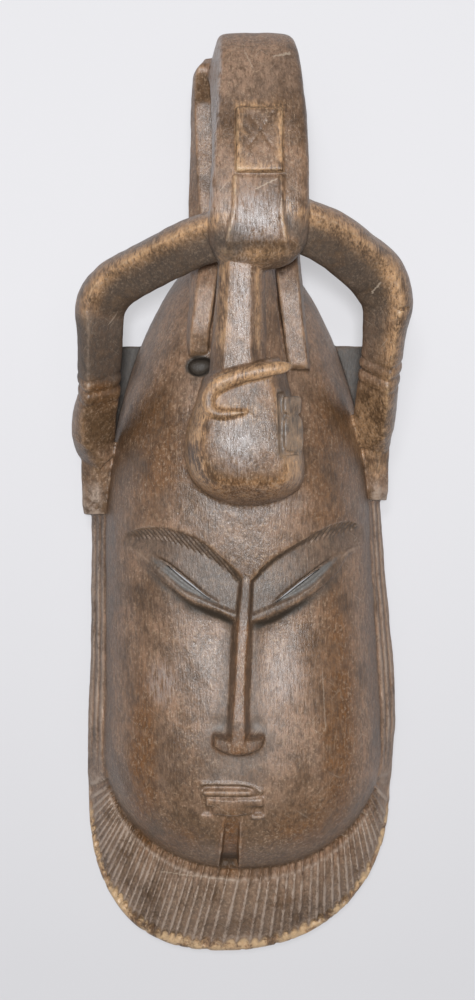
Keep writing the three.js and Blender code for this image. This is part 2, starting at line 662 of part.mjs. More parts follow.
const joined = [
  collar(), earBlock(-80, 26, -8, 8.5), earBlock(73, 30, 0, 7),
  noseRidge(), noseWings(),
  lip(-21, 10.2, -151, -155.4, 2.2), lip(-19.4, 10.3, -155.8, -160.6, 2.4),
  lip(-16.4, 2.2, -158.6, LIP_END_Y, 2.8),
  torso(), strap(), leg(legs.left), leg(legs.right),
  arm(arms.left, 1), arm(arms.right, -1),
  ...arms.left.wrist.map(wristRing), ...arms.right.wrist.map(wristRing),
  neck(), neckFacet(), head(),
];
const cutAway = [
  hollow(), eyeSlit(-40, -17), eyeSlit(17, 40), chinChannel(),
  panelCut(2, 14.8), panelCut(14.8, 2), footPit(), earNotch(),
];
const addedLast = [
  lock(), earLobe([24.9, 48.4, 130.6], [5, 4.6]), earLobe([25.6, 32.6, 129.8], [5.2, 10.2]),
];

let carved = face();
for (const piece of joined) carved = carved.add(piece);
for (const piece of cutAway) carved = carved.subtract(piece);
for (const piece of addedLast) carved = carved.add(piece);

// The carved solid as a mesh, with the outline's middle at the origin.
function toGeometry(manifold) {
  const mesh = manifold.getMesh();
  const geometry = new THREE.BufferGeometry();
  geometry.setAttribute("position", new THREE.BufferAttribute(new Float32Array(mesh.vertProperties), 3));
  geometry.setIndex(new THREE.BufferAttribute(new Uint32Array(mesh.triVerts), 1));
  geometry.translate(-OUTLINE_MIDDLE_X, -OUTLINE_MIDDLE_Y, 0);
  geometry.computeVertexNormals();
  return geometry;
}

const wood = new THREE.MeshStandardMaterial({ color: 0x6e5646, roughness: 0.5, metalness: 0 });
const mask = new THREE.Mesh(toGeometry(carved), wood);
mask.name = "mask";

const group = new THREE.Group();
group.add(mask);
export default group;
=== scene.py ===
import bpy
import numpy as np
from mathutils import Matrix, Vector


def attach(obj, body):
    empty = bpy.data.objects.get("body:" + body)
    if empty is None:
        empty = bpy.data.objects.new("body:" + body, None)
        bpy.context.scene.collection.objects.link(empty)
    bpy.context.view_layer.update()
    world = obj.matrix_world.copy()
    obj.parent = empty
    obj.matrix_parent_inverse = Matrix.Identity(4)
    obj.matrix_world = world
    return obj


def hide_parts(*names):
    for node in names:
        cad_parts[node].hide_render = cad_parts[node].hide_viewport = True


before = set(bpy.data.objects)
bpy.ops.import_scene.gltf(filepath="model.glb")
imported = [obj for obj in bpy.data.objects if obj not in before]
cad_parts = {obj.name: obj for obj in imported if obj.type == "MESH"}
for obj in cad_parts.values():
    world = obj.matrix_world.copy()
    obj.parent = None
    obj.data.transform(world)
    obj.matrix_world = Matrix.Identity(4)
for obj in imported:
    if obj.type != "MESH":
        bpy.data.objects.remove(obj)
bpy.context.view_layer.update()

# The view
# The mask lies on its back on a pale table, and the camera hangs straight over it, 1.1 m up.
# The frame's long side takes in 566 mm of the table.
CAMERA_HEIGHT = 1.1
TABLE_IN_VIEW = 0.566
CAMERA_PLACE = (-0.00126, 0.00672)

camera = bpy.data.objects.new("camera", bpy.data.cameras.new("camera"))
bpy.context.scene.collection.objects.link(camera)
camera.location = (*CAMERA_PLACE, CAMERA_HEIGHT)
camera.data.lens = camera.data.sensor_width * CAMERA_HEIGHT / TABLE_IN_VIEW
bpy.context.scene.camera = camera


# The face
# A long convex shell, cut from the same block of dark hardwood as everything else on the mask.
# The carver left the brows, the eyelids, the nose and the mouth standing, and cut down the wood between them.
# All carving is worked out in millimetres from the face's middle, with the rim of the back on z = 0.
FACE_HALF_WIDTH = 78.5
TEMPLE_HALF_WIDTH = 74.5
CHIN_Y, JAW_Y, MOUTH_Y = -206.0, -135.0, -110.0
TEMPLE_Y, CROWN_Y, APEX_Y = -20.0, 20.0, 148.0
FOREHEAD_HEIGHT, MOUTH_HEIGHT = 100.0, 90.0
FACE_SQUARENESS = 2.4
FINE_STEP = 0.7


def through(*knots):
    """A smooth curve through knots (at, value), level beyond its ends. Between two knots the value eases from
    one to the other by 3t² − 2t³, and leans by each knot's slope times t(1 − t)."""
    at, value = np.array(knots, float).T
    slope = np.empty(len(at))
    slope[1:-1] = (value[2:] - value[:-2]) / (at[2:] - at[:-2])
    slope[0] = (value[1] - value[0]) / (at[1] - at[0])
    slope[-1] = (value[-1] - value[-2]) / (at[-1] - at[-2])

    def curve(x):
        x = np.clip(x, at[0], at[-1])
        i = np.clip(np.searchsorted(at, x, side="right") - 1, 0, len(at) - 2)
        gap = at[i + 1] - at[i]
        t = (x - at[i]) / gap
        share = t * t * (3 - 2 * t)
        lean = t * (1 - t) * ((1 - t) * slope[i] - t * slope[i + 1])
        return value[i] * (1 - share) + value[i + 1] * share + lean * gap

    return curve


def oval(t, power):
    """The height of a superellipse of that power over t, which runs from -1 to 1."""
    return np.maximum(1 - np.abs(t) ** power, 0) ** (1 / power)


def bent(value, power):
    """A sine or cosine as a superellipse's coordinate: its size to the power 2/power, its sign kept."""
    return np.sign(value) * np.abs(value) ** (2 / power)


def ease(value, low, high):
    """0 below low, 1 above high, and 3t² − 2t³ between them."""
    t = np.clip((value - low) / (high - low), 0, 1)
    return t * t * (3 - 2 * t)


def mix(a, b, t):
    """a at t = 0, b at t = 1, and the straight line between them."""
    return a + (b - a) * t


def band(value, middle, half):
    """A bell: 1 at the middle, and 1/e at half to each side of it."""
    return np.exp(-(((value - middle) / half) ** 2))


def full_turn(count):
    """Evenly spaced angles over a full turn."""
    return np.linspace(0, 2 * np.pi, count, endpoint=False)


def points_at(x, y, z):
    """Points from their coordinates, each an array or a single number."""
    return np.stack(np.broadcast_arrays(x, y, z), axis=-1)


def mesh_object(name, points, triangles):
    """A new object from points (n, 3) and triangles (m, 3)."""
    mesh = bpy.data.meshes.new(name)
    mesh.vertices.add(len(points))
    mesh.vertices.foreach_set("co", points.astype(np.float32).ravel())
    mesh.loops.add(3 * len(triangles))
    mesh.loops.foreach_set("vertex_index", triangles.astype(np.int32).ravel())
    mesh.polygons.add(len(triangles))
    mesh.polygons.foreach_set("loop_start", np.arange(0, 3 * len(triangles), 3, dtype=np.int32))
    mesh.update(calc_edges=True)
    made = bpy.data.objects.new(name, mesh)
    bpy.context.scene.collection.objects.link(made)
    return made


def closed_body(name, rings):
    """A closed mesh from an array of rings (rings, points, 3): neighbouring rings are joined all round, and
    each end ring is joined to its own middle. Its triangles are turned over if it encloses less than 0."""
    count, around, _ = rings.shape
    points = np.concatenate([rings.reshape(-1, 3), rings[[0, -1]].mean(axis=1)])
    here = np.arange(around)
    after = np.roll(here, -1)
    low = (np.arange(count - 1)[:, None] * around + here).ravel()
    low_after = (np.arange(count - 1)[:, None] * around + after).ravel()
    last = (count - 1) * around
    triangles = np.concatenate([
        np.stack([low, low_after, low_after + around], axis=1),
        np.stack([low, low_after + around, low + around], axis=1),
        np.stack([np.full(around, len(points) - 2), after, here], axis=1),
        np.stack([np.full(around, len(points) - 1), last + here, last + after], axis=1),
    ])
    a, b, c = points[triangles].transpose(1, 0, 2)
    if np.sum(a * np.cross(b, c)) < 0:
        triangles = triangles[:, ::-1]
    return mesh_object(name, points, triangles)


def bar(name, y, corners):
    """A closed body along y, from its section's corners (x, z), each a number or an array over y."""
    return closed_body(name, np.stack([points_at(x, y, z) for x, z in corners], axis=1))


def face_half_width(y):
    """Half the shell's width over y: straight sides, and a superellipse to the apex and to the chin."""
    top = TEMPLE_HALF_WIDTH * oval(np.maximum(y - TEMPLE_Y, 0) / (APEX_Y - TEMPLE_Y), 1.8)
    jaw = FACE_HALF_WIDTH * oval(np.maximum(JAW_Y - y, 0) / (JAW_Y - CHIN_Y), 2.15)
    side = mix(TEMPLE_HALF_WIDTH, FACE_HALF_WIDTH, (TEMPLE_Y - y) / (TEMPLE_Y - JAW_Y))
    return np.where(y > TEMPLE_Y, top, np.where(y < JAW_Y, jaw, side))


def face_height(y):
    """The shell's height over y: it eases from the mouth to the crown, between two superellipses."""
    top = FOREHEAD_HEIGHT * oval(np.maximum(y - CROWN_Y, 0) / (APEX_Y - CROWN_Y), 2.2)
    chin = MOUTH_HEIGHT * oval(np.maximum(MOUTH_Y - y, 0) / (MOUTH_Y - CHIN_Y), 2.6)
    middle = mix(MOUTH_HEIGHT, FOREHEAD_HEIGHT, ease(y, MOUTH_Y, CROWN_Y))
    return np.where(y > CROWN_Y, top, np.where(y < MOUTH_Y, chin, middle))


# The shell leans a little to the left towards its top.
face_middle = through((-110, 0), (-20, -2.7))

# The lines across the eyes, as y over x: the brow's upper edge, the foot of its bevel, the upper lid,
# and the inner and outer edge of the rim under the eye.
brow_line = through(
    (-73, -24), (-62, -17.6), (-54, -14.7), (-44.4, -14.1), (-35, -15.6), (-26, -18.7), (-17.2, -24.3),
    (-8.3, -31.9), (-1.1, -39), (1.8, -42.7), (6.2, -39), (12.4, -32.3), (21.8, -26.1), (30.8, -20.8),
    (41, -15.1), (50, -11.8), (60, -11.9), (73, -20),
)
bevel_line = through(
    (-73, -24), (-63.6, -21.3), (-42.6, -21.4), (-33.4, -24.2), (-21.7, -28.9), (-15, -32.9), (-6.1, -39.9),
    (1.8, -45.6), (8.9, -39.5), (16.9, -32.6), (26.3, -26.7), (36.4, -22.2), (47.5, -19.3), (63.7, -16.9),
    (73, -20),
)
lid_line = through(
    (-73, -24), (-59.9, -22.5), (-49.9, -27.3), (-39.8, -33.1), (-29.4, -41), (-17.3, -50.3), (-5.8, -57.1),
    (1.5, -58.9), (7.7, -57.9), (14, -54.5), (20.9, -49), (31.4, -41.1), (43.5, -32.8), (57.6, -24.5),
    (73, -22),
)
rim_inner_line = through(
    (-73, -25), (-59.9, -23.9), (-48.8, -31.5), (-39.8, -38.9), (-30.7, -46.4), (-22.4, -50.1), (-12, -55),
    (1.5, -59.4), (11.4, -56.1), (20.1, -52.2), (27.3, -49.1), (36, -43.9), (43.9, -36.8), (57, -25.6),
    (73, -23),
)
rim_outer_line = through(
    (-73, -26), (-60.5, -25.7), (-51, -33.6), (-41.3, -43.1), (-28.1, -52.2), (-17.3, -56.1), (-12.8, -57.5),
    (-5.2, -61.5), (1.5, -63.3), (7.2, -62.8), (20.1, -57.6), (29.1, -53.2), (38.3, -47.6), (50.2, -38),
    (57, -28.2), (73, -25),
)
BROW_DROP, LID_DROP, GROOVE_DROP, LENS_DROP, RIM_DROP = 4.4, 2.2, 5.6, 1.6, 0.3
CHEEK_BLEND = 48.0

# The step under the eye, by how far it is from the nose: how deep it is cut, and how wide its slope is.
step_depth = through((5, 3.0), (11, 4.8), (18, 4.8), (28, 3.1), (45, 1.7), (60, 1.0))
step_width = through((5, 1.2), (11, 4.2), (17, 4.8), (25, 3.2), (34, 2.0), (46, 1.1))


def eye_relief(x, y):
    """How far the eyes are cut down, as a walk down the face over their lines: between two lines the cut
    goes evenly from one depth to the next, and it fades out towards the sides of the face. A thin ledge
    stands at the foot of the brow's bevel, near the temples."""
    lid, inner, outer = lid_line(x), rim_inner_line(x), rim_outer_line(x)
    off = np.abs(x - 1.5)
    lens = ease(off, 12, 19) * ease(off, 52, 40)
    rim = np.clip((inner - outer) / 2.0, 0, 1)
    depth, width = step_depth(off), step_width(off)
    walk = [
        (brow_line(x), 0.0),
        (bevel_line(x), -BROW_DROP),
        (lid, -LID_DROP),
        (lid - 1.0, -mix(LID_DROP, GROOVE_DROP, lens)),
        (mix(lid - 1.0, inner, 0.45), -mix(LID_DROP, LENS_DROP, lens)),
        (inner + 0.2, -mix(LID_DROP, LENS_DROP + 1.1, lens)),
        (mix(inner, outer, 0.3), -mix(LID_DROP, RIM_DROP, rim)),
        (outer + 0.3, -mix(LID_DROP, RIM_DROP, rim)),
        (outer - width, -depth),
    ]
    lift = np.zeros_like(x)
    for (top, before), (bottom, after) in zip(walk, walk[1:]):
        share = np.clip((top - y) / np.maximum(top - bottom, 0.3), 0, 1)
        lift += (after - before) * share
    lift += 0.9 * ease(off, 36, 44) * band(y, bevel_line(x) + 0.2, 0.7)
    cheek = ease(y, outer - width, outer - width - CHEEK_BLEND)
    return (lift + depth * cheek) * ease(np.abs(x - 0.5), 67, 57)


NOSE_TOP_Y, NOSE_END_Y = -41.0, -132.7
NOSE_FLOOR = -5.8
WING_TOP_Y, WING_PROUD = -120.6, 8.8
nose_axis = through((-127, -2.4), (-100, -1.8), (-60, 0.3), (-41, 1.8))
nose_half_ridge = through((-124, 3.1), (-100, 2.6), (-60, 2.4), (-41, 2.1))
nose_half_base = through((-118, 7.4), (-100, 6.8), (-60, 5.7), (-41, 3.8))
nose_proud = through((-133, 8.6), (-122, 9.6), (-112, 9.8), (-80, 6.4), (-55, 2.2), (-41, 0.0))


def nose_relief(x, y):
    """The nose over the smooth face: a flat ridge that grows out of the forehead, with straight sides down to
    the cheeks, and two wings with nearly level upper edges. Its end rounds over to a shallow arc."""
    across = x - nose_axis(y)
    off = np.abs(across)
    slope = (nose_proud(y) - NOSE_FLOOR) / (nose_half_base(y) - nose_half_ridge(y))
    ridge = nose_proud(y) - slope * np.maximum(off - nose_half_ridge(y), 0)
    end = NOSE_END_Y + 5.7 * (off / 14.0) ** 2 + 2.5 * ease(across, 10.5, 14.0)
    wing_top = WING_TOP_Y + 0.7 * ease(-across, 5, 13)
    wing = np.minimum(WING_PROUD - 0.017 * off * off, NOSE_FLOOR + (wing_top - y) * 4.0)
    wing = np.minimum(wing, NOSE_FLOOR + (15.2 - off) * 3.4)
    tip = mix(NOSE_FLOOR, 10.5, oval(1 - np.clip((y - end) / 5.0, 0, 1), 2.4))
    lift = np.minimum(np.maximum(ridge, wing), np.where(y > end, tip, NOSE_FLOOR))
    return np.where(y < NOSE_TOP_Y + 6, lift, NOSE_FLOOR)


def wing_hollows(x, y):
    """The two shallow hollows over the nose's wings."""
    off = np.abs(x - nose_axis(y))
    return -1.8 * band(off, 9.5, 4.5) * band(y, -117.5, 4.2)


def slab(x, y, left, right, low, high, soft):
    """1 inside a rectangle and 0 outside it, with edges that slope over the width soft."""
    inside = np.minimum(np.minimum(x - left, right - x), np.minimum(y - low, high - y))
    return ease(inside, -soft / 2, soft / 2)


MOUTH_LEFT, MOUTH_RIGHT = -21.6, 10.6
LIP_GAP_Y, LIP_END_Y = -155.6, -164.9
CHIN_STRIP_END_Y = -199.5


def mouth_relief(x, y):
    """The mouth: a sunk field under a thin ledge, a thin upper lip, and a lower lip that is one bar above and
    a block with a notch at each end below. A strip sinks from it into the chin between two worn edges."""
    ledge = through((-21, -148.6), (0, -149), (10, -152.4))(x)
    field = slab(x, y, MOUTH_LEFT, MOUTH_RIGHT, LIP_END_Y - 0.4, ledge, 1.0)
    edge = 0.9 * slab(x, y, MOUTH_LEFT, MOUTH_RIGHT, ledge - 0.2, ledge + 1.4, 1.2)
    upper_half = 2.1 * oval((x + 5.4) / 15.6, 4)
    upper = oval(np.clip((y + 153.1) / np.maximum(upper_half, 0.1), -1, 1), 2.6) * (upper_half > 0.2)
    upper *= mix(2.9, 1.6, ease(x, 3, 5.5))
    bar = 2.9 * slab(x, y, -19.4, MOUTH_RIGHT - 0.3, -160.3, LIP_GAP_Y, 1.1)
    block = (3.8 - 0.02 * (x + 7) ** 2) * slab(x, y, -16.4, 2.2, LIP_END_Y, LIP_GAP_Y, 1.3)
    step = 1.7 * slab(x, y, 1.8, 5.4, LIP_END_Y, -159.0, 1.0)
    lips = np.maximum(np.maximum(upper, bar), np.maximum(block, step))
    corner = 1.1 * slab(x, y, 4.6, MOUTH_RIGHT + 0.4, LIP_END_Y - 2.2, LIP_END_Y - 0.2, 0.9)
    down = np.clip((-165 - y) / 34, 0, 1)
    axis = mix(-5.4, -7.6, down)
    half = mix(3.4, 4.8, down)
    strip = slab(x, y, axis - half, axis + half, CHIN_STRIP_END_Y, -164.0, 1.0)
    edges = band(np.abs(x - axis), half + 1.1, 0.9) * ease(y, -166, -169)
    edges *= ease(y, CHIN_STRIP_END_Y - 1, CHIN_STRIP_END_Y + 4)
    return lips + edge + corner - 1.5 * field + mix(0.2, -4.8, down ** 0.7) * strip + 1.2 * edges


def face_body():
    """The shell as a grid over its length and width: the height over the rim is a superellipse across, the
    rows crowd towards the chin and the apex, and each point is lifted or sunk square to the surface."""
    front = np.arange(-0.9, 0.9, FINE_STEP / FACE_HALF_WIDTH)
    flank = oval(np.linspace(0, oval(0.9, FACE_SQUARENESS), 26), FACE_SQUARENESS)
    across = np.concatenate([-flank, front[1:], flank[::-1]])
    chin_end, brow_end = -172.0, -5.0
    turn = np.linspace(0, np.pi / 2, 60)[1:-1]
    rows = np.concatenate([
        [CHIN_Y + 0.15],
        chin_end - (chin_end - CHIN_Y) * np.sin(turn[::-1]),
        np.arange(chin_end, brow_end, FINE_STEP),
        brow_end + (APEX_Y - brow_end) * np.sin(turn),
        [APEX_Y - 0.15],
    ])
    u, y = np.meshgrid(across, rows)
    x = face_middle(y) + u * face_half_width(y)
    z = face_height(y) * oval(u, FACE_SQUARENESS)
    points = points_at(x, y, z)
    normal = np.cross(np.gradient(points, axis=1), np.gradient(points, axis=0))
    normal /= np.maximum(np.linalg.norm(normal, axis=-1, keepdims=True), 1e-9)
    lift = np.maximum(eye_relief(x, y) + wing_hollows(x, y), nose_relief(x, y)) + mouth_relief(x, y)
    lift *= ease(z, 4, 16)
    return closed_body("face", points + normal * lift[..., None])


face = face_body()
joined, cut_away = [], []


# The hollow and the eye slits
# The back is hollowed out to a wall of about 11 mm, so that the mask can be worn or hung flat.
# A narrow slit under each upper lid goes right through the wall.
WALL = 11.0


def hollow_body():
    """The space behind the face: the outer shell's own section, drawn in by the wall's thickness."""
    angle = np.linspace(-np.pi / 2, np.pi / 2, 61)
    start, end = CHIN_Y + WALL + 4, APEX_Y - WALL - 6
    rings = []
    for t in np.linspace(0, 1, 60):
        y = mix(start, end, (1 - np.cos(t * np.pi)) / 2)
        outer_y = mix(CHIN_Y, APEX_Y, (y - start) / (end - start))
        half_width = max(float(face_half_width(outer_y)) - WALL, 1)
        height = max(float(face_height(outer_y)) - WALL, 1) * min(1, half_width / (2.4 * WALL))
        middle = float(face_middle(outer_y))
        x = middle + half_width * bent(np.sin(angle), FACE_SQUARENESS)
        z = height * bent(np.cos(angle), FACE_SQUARENESS)
        x = np.concatenate([x, [middle + half_width, middle - half_width]])
        z = np.concatenate([z, [-5, -5]])
        rings.append(points_at(x, y, z))
    return closed_body("hollow", np.array(rings))


def eye_slit(from_x, to_x):
    """A thin blade along the upper lid, widest in its middle."""
    t = np.linspace(0, 1, 40)
    x = mix(from_x, to_x, t)
    y = lid_line(x) - 1.1
    half = 0.3 + 0.4 * np.sin(np.pi * t)
    corners = [(1, 125), (-1, 125), (-1, 30), (1, 30)]
    rings = [points_at(x, y + sign * half, z) for sign, z in corners]
    return closed_body("eye_slit", np.stack(rings, axis=1))


cut_away.append(hollow_body())
eye_slits = [eye_slit(-40, -17), eye_slit(17, 40)]


# The collar
# A strip runs round the face: up each side it is a band with long grooves that ends in a flat plate behind
# the figure's hands, and round the chin it is the beard, with scooped flutes and a rim that is rubbed bare.
COLLAR_HALF_WIDTH = 84.5
COLLAR_END_Y, COLLAR_START_Y = -253.0, -160.0
PLATE_TOP_Y, PLATE_THICKNESS = 86.0, 13.0
RIM_HEIGHT, BAND_HEIGHT, BEARD_HEIGHT = 9.0, 34.0, 45.0
LEFT_FLUTES, RIGHT_FLUTES, FLUTE_DEPTH = 29, 24, 3.3
BAND_GROOVE_DEPTH = 2.2

band_outer = (
    through((-160, -87), (-115, -86.3), (-90, -85.2), (-20, -84.6), (86, -83.5)),
    through((-160, 83), (-110, 85.5), (-10, 77.5), (86, 76)),
)


def collar_section(outer, inner, rim, top, flute, groove):
    """One slice through the strip, from its foot over the rounded rim and the top down to its inner foot.
    The top rises by the sine of its share across. Flutes sink it between rim and face, grooves sink it in
    three lines along the strip."""
    share = np.concatenate([[0, 0, 0], np.linspace(0.02, 1, 44), [1]])
    rise = np.sin(share * np.pi / 2)
    z = rim + (top - rim) * rise
    scoop = ease(share, 0.02, 0.11) * ease(share, 1.0, 0.93)
    lines = sum(band(share, at, 0.045) for at in (0.2, 0.42, 0.64))
    z = z - flute * scoop - groove * lines
    z[:3] = [0, rim * 0.62, rim - 0.6]
    z[-1] = 0
    return points_at(mix(outer[0], inner[0], share), mix(outer[1], inner[1], share), z)


def band_slice(side, y):
    """A slice of the side band, or of the plate above it."""
    sign = (-1, 1)[side]
    plate = float(ease(y, 10, 34))
    tip = float(ease(y, -157, -120))
    outer = (float(band_outer[side](y)), y)
    inner = (float(face_middle(y) + sign * (face_half_width(y) - 7)), y)
    rim = mix(RIM_HEIGHT + 3, PLATE_THICKNESS - 1, plate)
    top = mix(BAND_HEIGHT, PLATE_THICKNESS, plate)
    return collar_section(outer, inner, rim, top, 0, BAND_GROOVE_DEPTH * tip * (1 - plate))


def flute_starts():
    """Where each flute starts, as shares of the way round the chin: narrow ones on the left, wider ones on
    the right, and no two alike."""
    rng = np.random.default_rng(5)
    left = np.cumsum(1 + 0.5 * rng.random(LEFT_FLUTES))
    right = np.cumsum(1 + 0.5 * rng.random(RIGHT_FLUTES))
    return np.concatenate([[0], 0.5 * left / left[-1], 0.5 + 0.5 * right / right[-1]])


def beard_slices():
    """The slices round the chin. Both edges are superellipses, and a flute's depth is a power of the sine of
    the share of the way over it, so that thin ridges stand between round scoops."""
    starts = flute_starts()
    rng = np.random.default_rng(6)
    depth = FLUTE_DEPTH * (0.75 + 0.5 * rng.random(len(starts)))
    for i in range(len(starts) - 1):
        for t in np.arange(12) / 12:
            angle = np.pi * (1 + mix(starts[i], starts[i + 1], t))
            squareness = 2.4 if np.cos(angle) > 0 else 2.27
            fall = abs(bent(np.sin(angle), squareness))
            outer_x = -2 - 10 * fall * fall + COLLAR_HALF_WIDTH * bent(np.cos(angle), squareness)
            outer = (outer_x, mix(COLLAR_START_Y, COLLAR_END_Y, fall))
            inner_fall = abs(bent(np.sin(angle), 2.3))
            inner = (70 * bent(np.cos(angle), 2.3), mix(COLLAR_START_Y + 10, CHIN_Y + 12, inner_fall))
            flute = depth[i] * np.sin(np.pi * t) ** 0.6
            top = mix(BAND_HEIGHT, BEARD_HEIGHT, fall * fall)
            yield collar_section(outer, inner, RIM_HEIGHT, top, flute, 0)


def collar_body():
    """The whole strip: slices down the left side, round the chin, and up the right side."""
    side_y = np.concatenate([
        np.linspace(PLATE_TOP_Y, 40, 12), np.linspace(36, 8, 16), np.linspace(4, -152, 90),
    ])
    slices = [band_slice(0, y) for y in side_y]
    slices += list(beard_slices())
    slices += [band_slice(1, y) for y in side_y[::-1]]
    return closed_body("collar", np.array(slices))


joined.append(collar_body())


# The ear blocks
# Two small blocks stand on the side bands under the figure's hands, each with a ridge down its front.
def ear_block(x, upper_y, lower_y, half):
    """A block whose section is a roof with a ridge near its outer side, rising towards the hand."""
    outline = np.array([
        (-1, -26), (-1, -6), (-0.85, -4.2), (-0.2, 0), (0.1, 0), (0.9, -3.4), (1, -5), (1, -26),
    ])
    rings = []
    for y, z, share in [(upper_y, 44, 1), (mix(upper_y, lower_y, 0.85), 35.5, 1), (lower_y, 33, 0.9)]:
        across = x - outline[:, 0] * half * share * np.sign(x)
        rings.append(points_at(across, y, z + outline[:, 1]))
    return closed_body("ear_block", np.array(rings))


joined += [ear_block(-80, 26, -8, 8.5), ear_block(73, 30, 0, 7)]


# The figure's body
# A thick band of wood that runs up from the chest, over the hips and down behind them, nearly square in
# section. A strap with a raised amulet panel at its upper end is left standing on the chest.
TORSO_THICKNESS = 24.0


def smooth_path(points, count):
    """Evenly spaced points along a smooth curve through the given ones, each coordinate a curve over the
    distance run."""
    points = np.array(points, float)
    run = np.concatenate([[0], np.cumsum(np.linalg.norm(np.diff(points[:, :3], axis=0), axis=1))])
    curves = [through(*zip(run, column)) for column in points.T]
    fine = np.linspace(0, run[-1], 600)
    dense = np.stack([curve(fine) for curve in curves], axis=-1)
    length = np.concatenate([[0], np.cumsum(np.linalg.norm(np.diff(dense[:, :3], axis=0), axis=1))])
    at = np.interp(np.linspace(0, length[-1], count), length, fine)
    return np.stack([curve(at) for curve in curves], axis=-1)


def closed_curve(outline, count):
    """A closed smooth curve through an outline's points: the sum of each span's Catmull-Rom cubic."""
    points = np.array(outline, float)
    at = np.linspace(0, len(points), count, endpoint=False)
    i = at.astype(int)
    t = (at - i)[:, None]
    before, start, end, after = (points[(i + k) % len(points)] for k in (-1, 0, 1, 2))
    cubic = 3 * (start - end) + after - before
    return start + 0.5 * t * (end - before + t * (2 * before - 5 * start + 4 * end - after + t * cubic))


def carried(path, outline, half_width, half_depth, flip=1):
    """A closed outline carried along a path: across is square to the path and level, up is square to both."""
    along = np.gradient(path, axis=0)
    along /= np.linalg.norm(along, axis=1, keepdims=True)
    across = np.cross(along, [0, 0, 1.0])
    across /= np.linalg.norm(across, axis=1, keepdims=True)
    up = np.cross(across, along)
    wide = outline[None, :, 0, None] * (flip * half_width[:, None] * across)[:, None]
    deep = outline[None, :, 1, None] * (half_depth[:, None] * up)[:, None]
    return path[:, None] + wide + deep


# Along the body's path, as shares of the way from the chest to the hips' foot: where its sides run.
torso_left = through(
    (0, -9), (0.05, -15), (0.1, -17.2), (0.22, -16.6), (0.34, -15.2), (0.46, -13.4), (0.58, -12.3),
    (0.68, -11.8), (0.8, -12.4), (1, -14),
)
torso_right = through(
    (0, 20), (0.05, 28), (0.1, 31.8), (0.34, 32.4), (0.46, 31.6), (0.58, 30.2), (0.68, 28.6), (0.76, 26.8),
    (0.86, 25), (1, 24),
)
torso_flare = through((0.3, 0), (0.5, 3.5), (0.7, 6.4), (1, 7))
torso_path = smooth_path([
    (0, 122, 124), (0, 124.5, 131), (0, 131, 136.5), (0, 147, 138), (0, 172, 134), (0, 203, 126),
    (0, 219, 117), (0, 227, 103), (0, 226, 87), (0, 218, 75),
], 110)


def torso_out(share):
    """Half the band's thickness along the path, as (y, z) steps from the path to its front."""
    half = TORSO_THICKNESS / 2
    half_depth = through((0, 5), (0.02, 8.5), (0.055, 11.3), (0.1, half), (0.9, half), (1, 9))(share)
    along = np.gradient(torso_path, axis=0)
    along /= np.linalg.norm(along, axis=1, keepdims=True)
    return np.stack([-along[:, 2], along[:, 1]], axis=-1) * half_depth[:, None]


def torso_body():
    """The band as a box section over its share of the way from the chest to the hips' foot: a superellipse
    across and through, squarer on its left, whose left side leans out towards its back."""
    share = np.linspace(0, 1, len(torso_path))
    angle = full_turn(88)
    squareness = mix(9.0, 5.0, ease(np.cos(angle), -0.3, 0.3))
    squareness = mix(2.4, squareness, ease(share, 0.06, 0.34)[:, None])
    across, through_it = bent(np.cos(angle), squareness), bent(np.sin(angle), squareness)
    left, right = torso_left(share), torso_right(share)
    middle, half_width = (left + right) / 2, (right - left) / 2
    flare = torso_flare(share)[:, None] * (1 - through_it) / 2 * ease(-across, 0, 1)
    out = torso_out(share)
    x = middle[:, None] + half_width[:, None] * across - flare
    y = torso_path[:, 1, None] + out[:, 0, None] * through_it
    z = torso_path[:, 2, None] + out[:, 1, None] * through_it
    return closed_body("torso", points_at(x, y, z))


def chest_front(y):
    """The height of the band's front over y, read along its middle."""
    front = torso_path[:, 1:] + torso_out(np.linspace(0, 1, len(torso_path)))
    rising = front[: np.argmax(front[:, 0])]
    return np.interp(y, rising[:, 0], rising[:, 1])


STRAP_END_Y, STRAP_TOP_Y, PANEL_FOOT_Y, PANEL_TOP_Y = 121.5, 158.6, 161.0, 195.0
PANEL_MIDDLE, PANEL_HALF_WIDTH = 7.9, 11.6


def strap_half_width(y):
    """Half the strap's width over y, which narrows towards the panel."""
    return mix(16.5, 12.6, ease(y, 118, 146))


def strap_body():
    """The strap and the panel: a low flat ridge along the chest with raised edges, and a thicker block with
    rounded borders where the panel is. A groove parts them."""
    strap_y, gap_y, panel_y = (STRAP_END_Y, STRAP_TOP_Y, 60), (159, 161.4, 8), (161.8, PANEL_TOP_Y, 42)
    y = np.concatenate([np.linspace(*stretch) for stretch in (strap_y, gap_y, panel_y)])
    panel = ease(y, PANEL_FOOT_Y - 0.8, PANEL_FOOT_Y)
    half_width = mix(strap_half_width(y), PANEL_HALF_WIDTH, panel)
    rise = mix(1.5, 2.8, panel) - 2.4 * band(y, 160.0, 0.9)
    rise -= 3.2 * ease(y, PANEL_TOP_Y - 2.4, PANEL_TOP_Y - 0.4)
    rise -= 2.6 * ease(y, STRAP_END_Y + 5.5, STRAP_END_Y)
    middle = mix(mix(6.2, 7.4, ease(y, 118, 158)), PANEL_MIDDLE, panel)
    top = chest_front(y) + rise
    dip = mix(0.9, 0.0, panel)
    outline = [
        (-1, -7, 0), (-1, -1.4, 0), (-0.95, -0.2, 0), (-0.86, 0, 0), (-0.76, 0, 1), (0.76, 0, 1),
        (0.86, 0, 0), (0.95, -0.2, 0), (1, -1.4, 0), (1, -7, 0),
    ]
    corners = [(middle + across * half_width, top + z - dip * sunk) for across, z, sunk in outline]
    return bar("strap", y, corners)


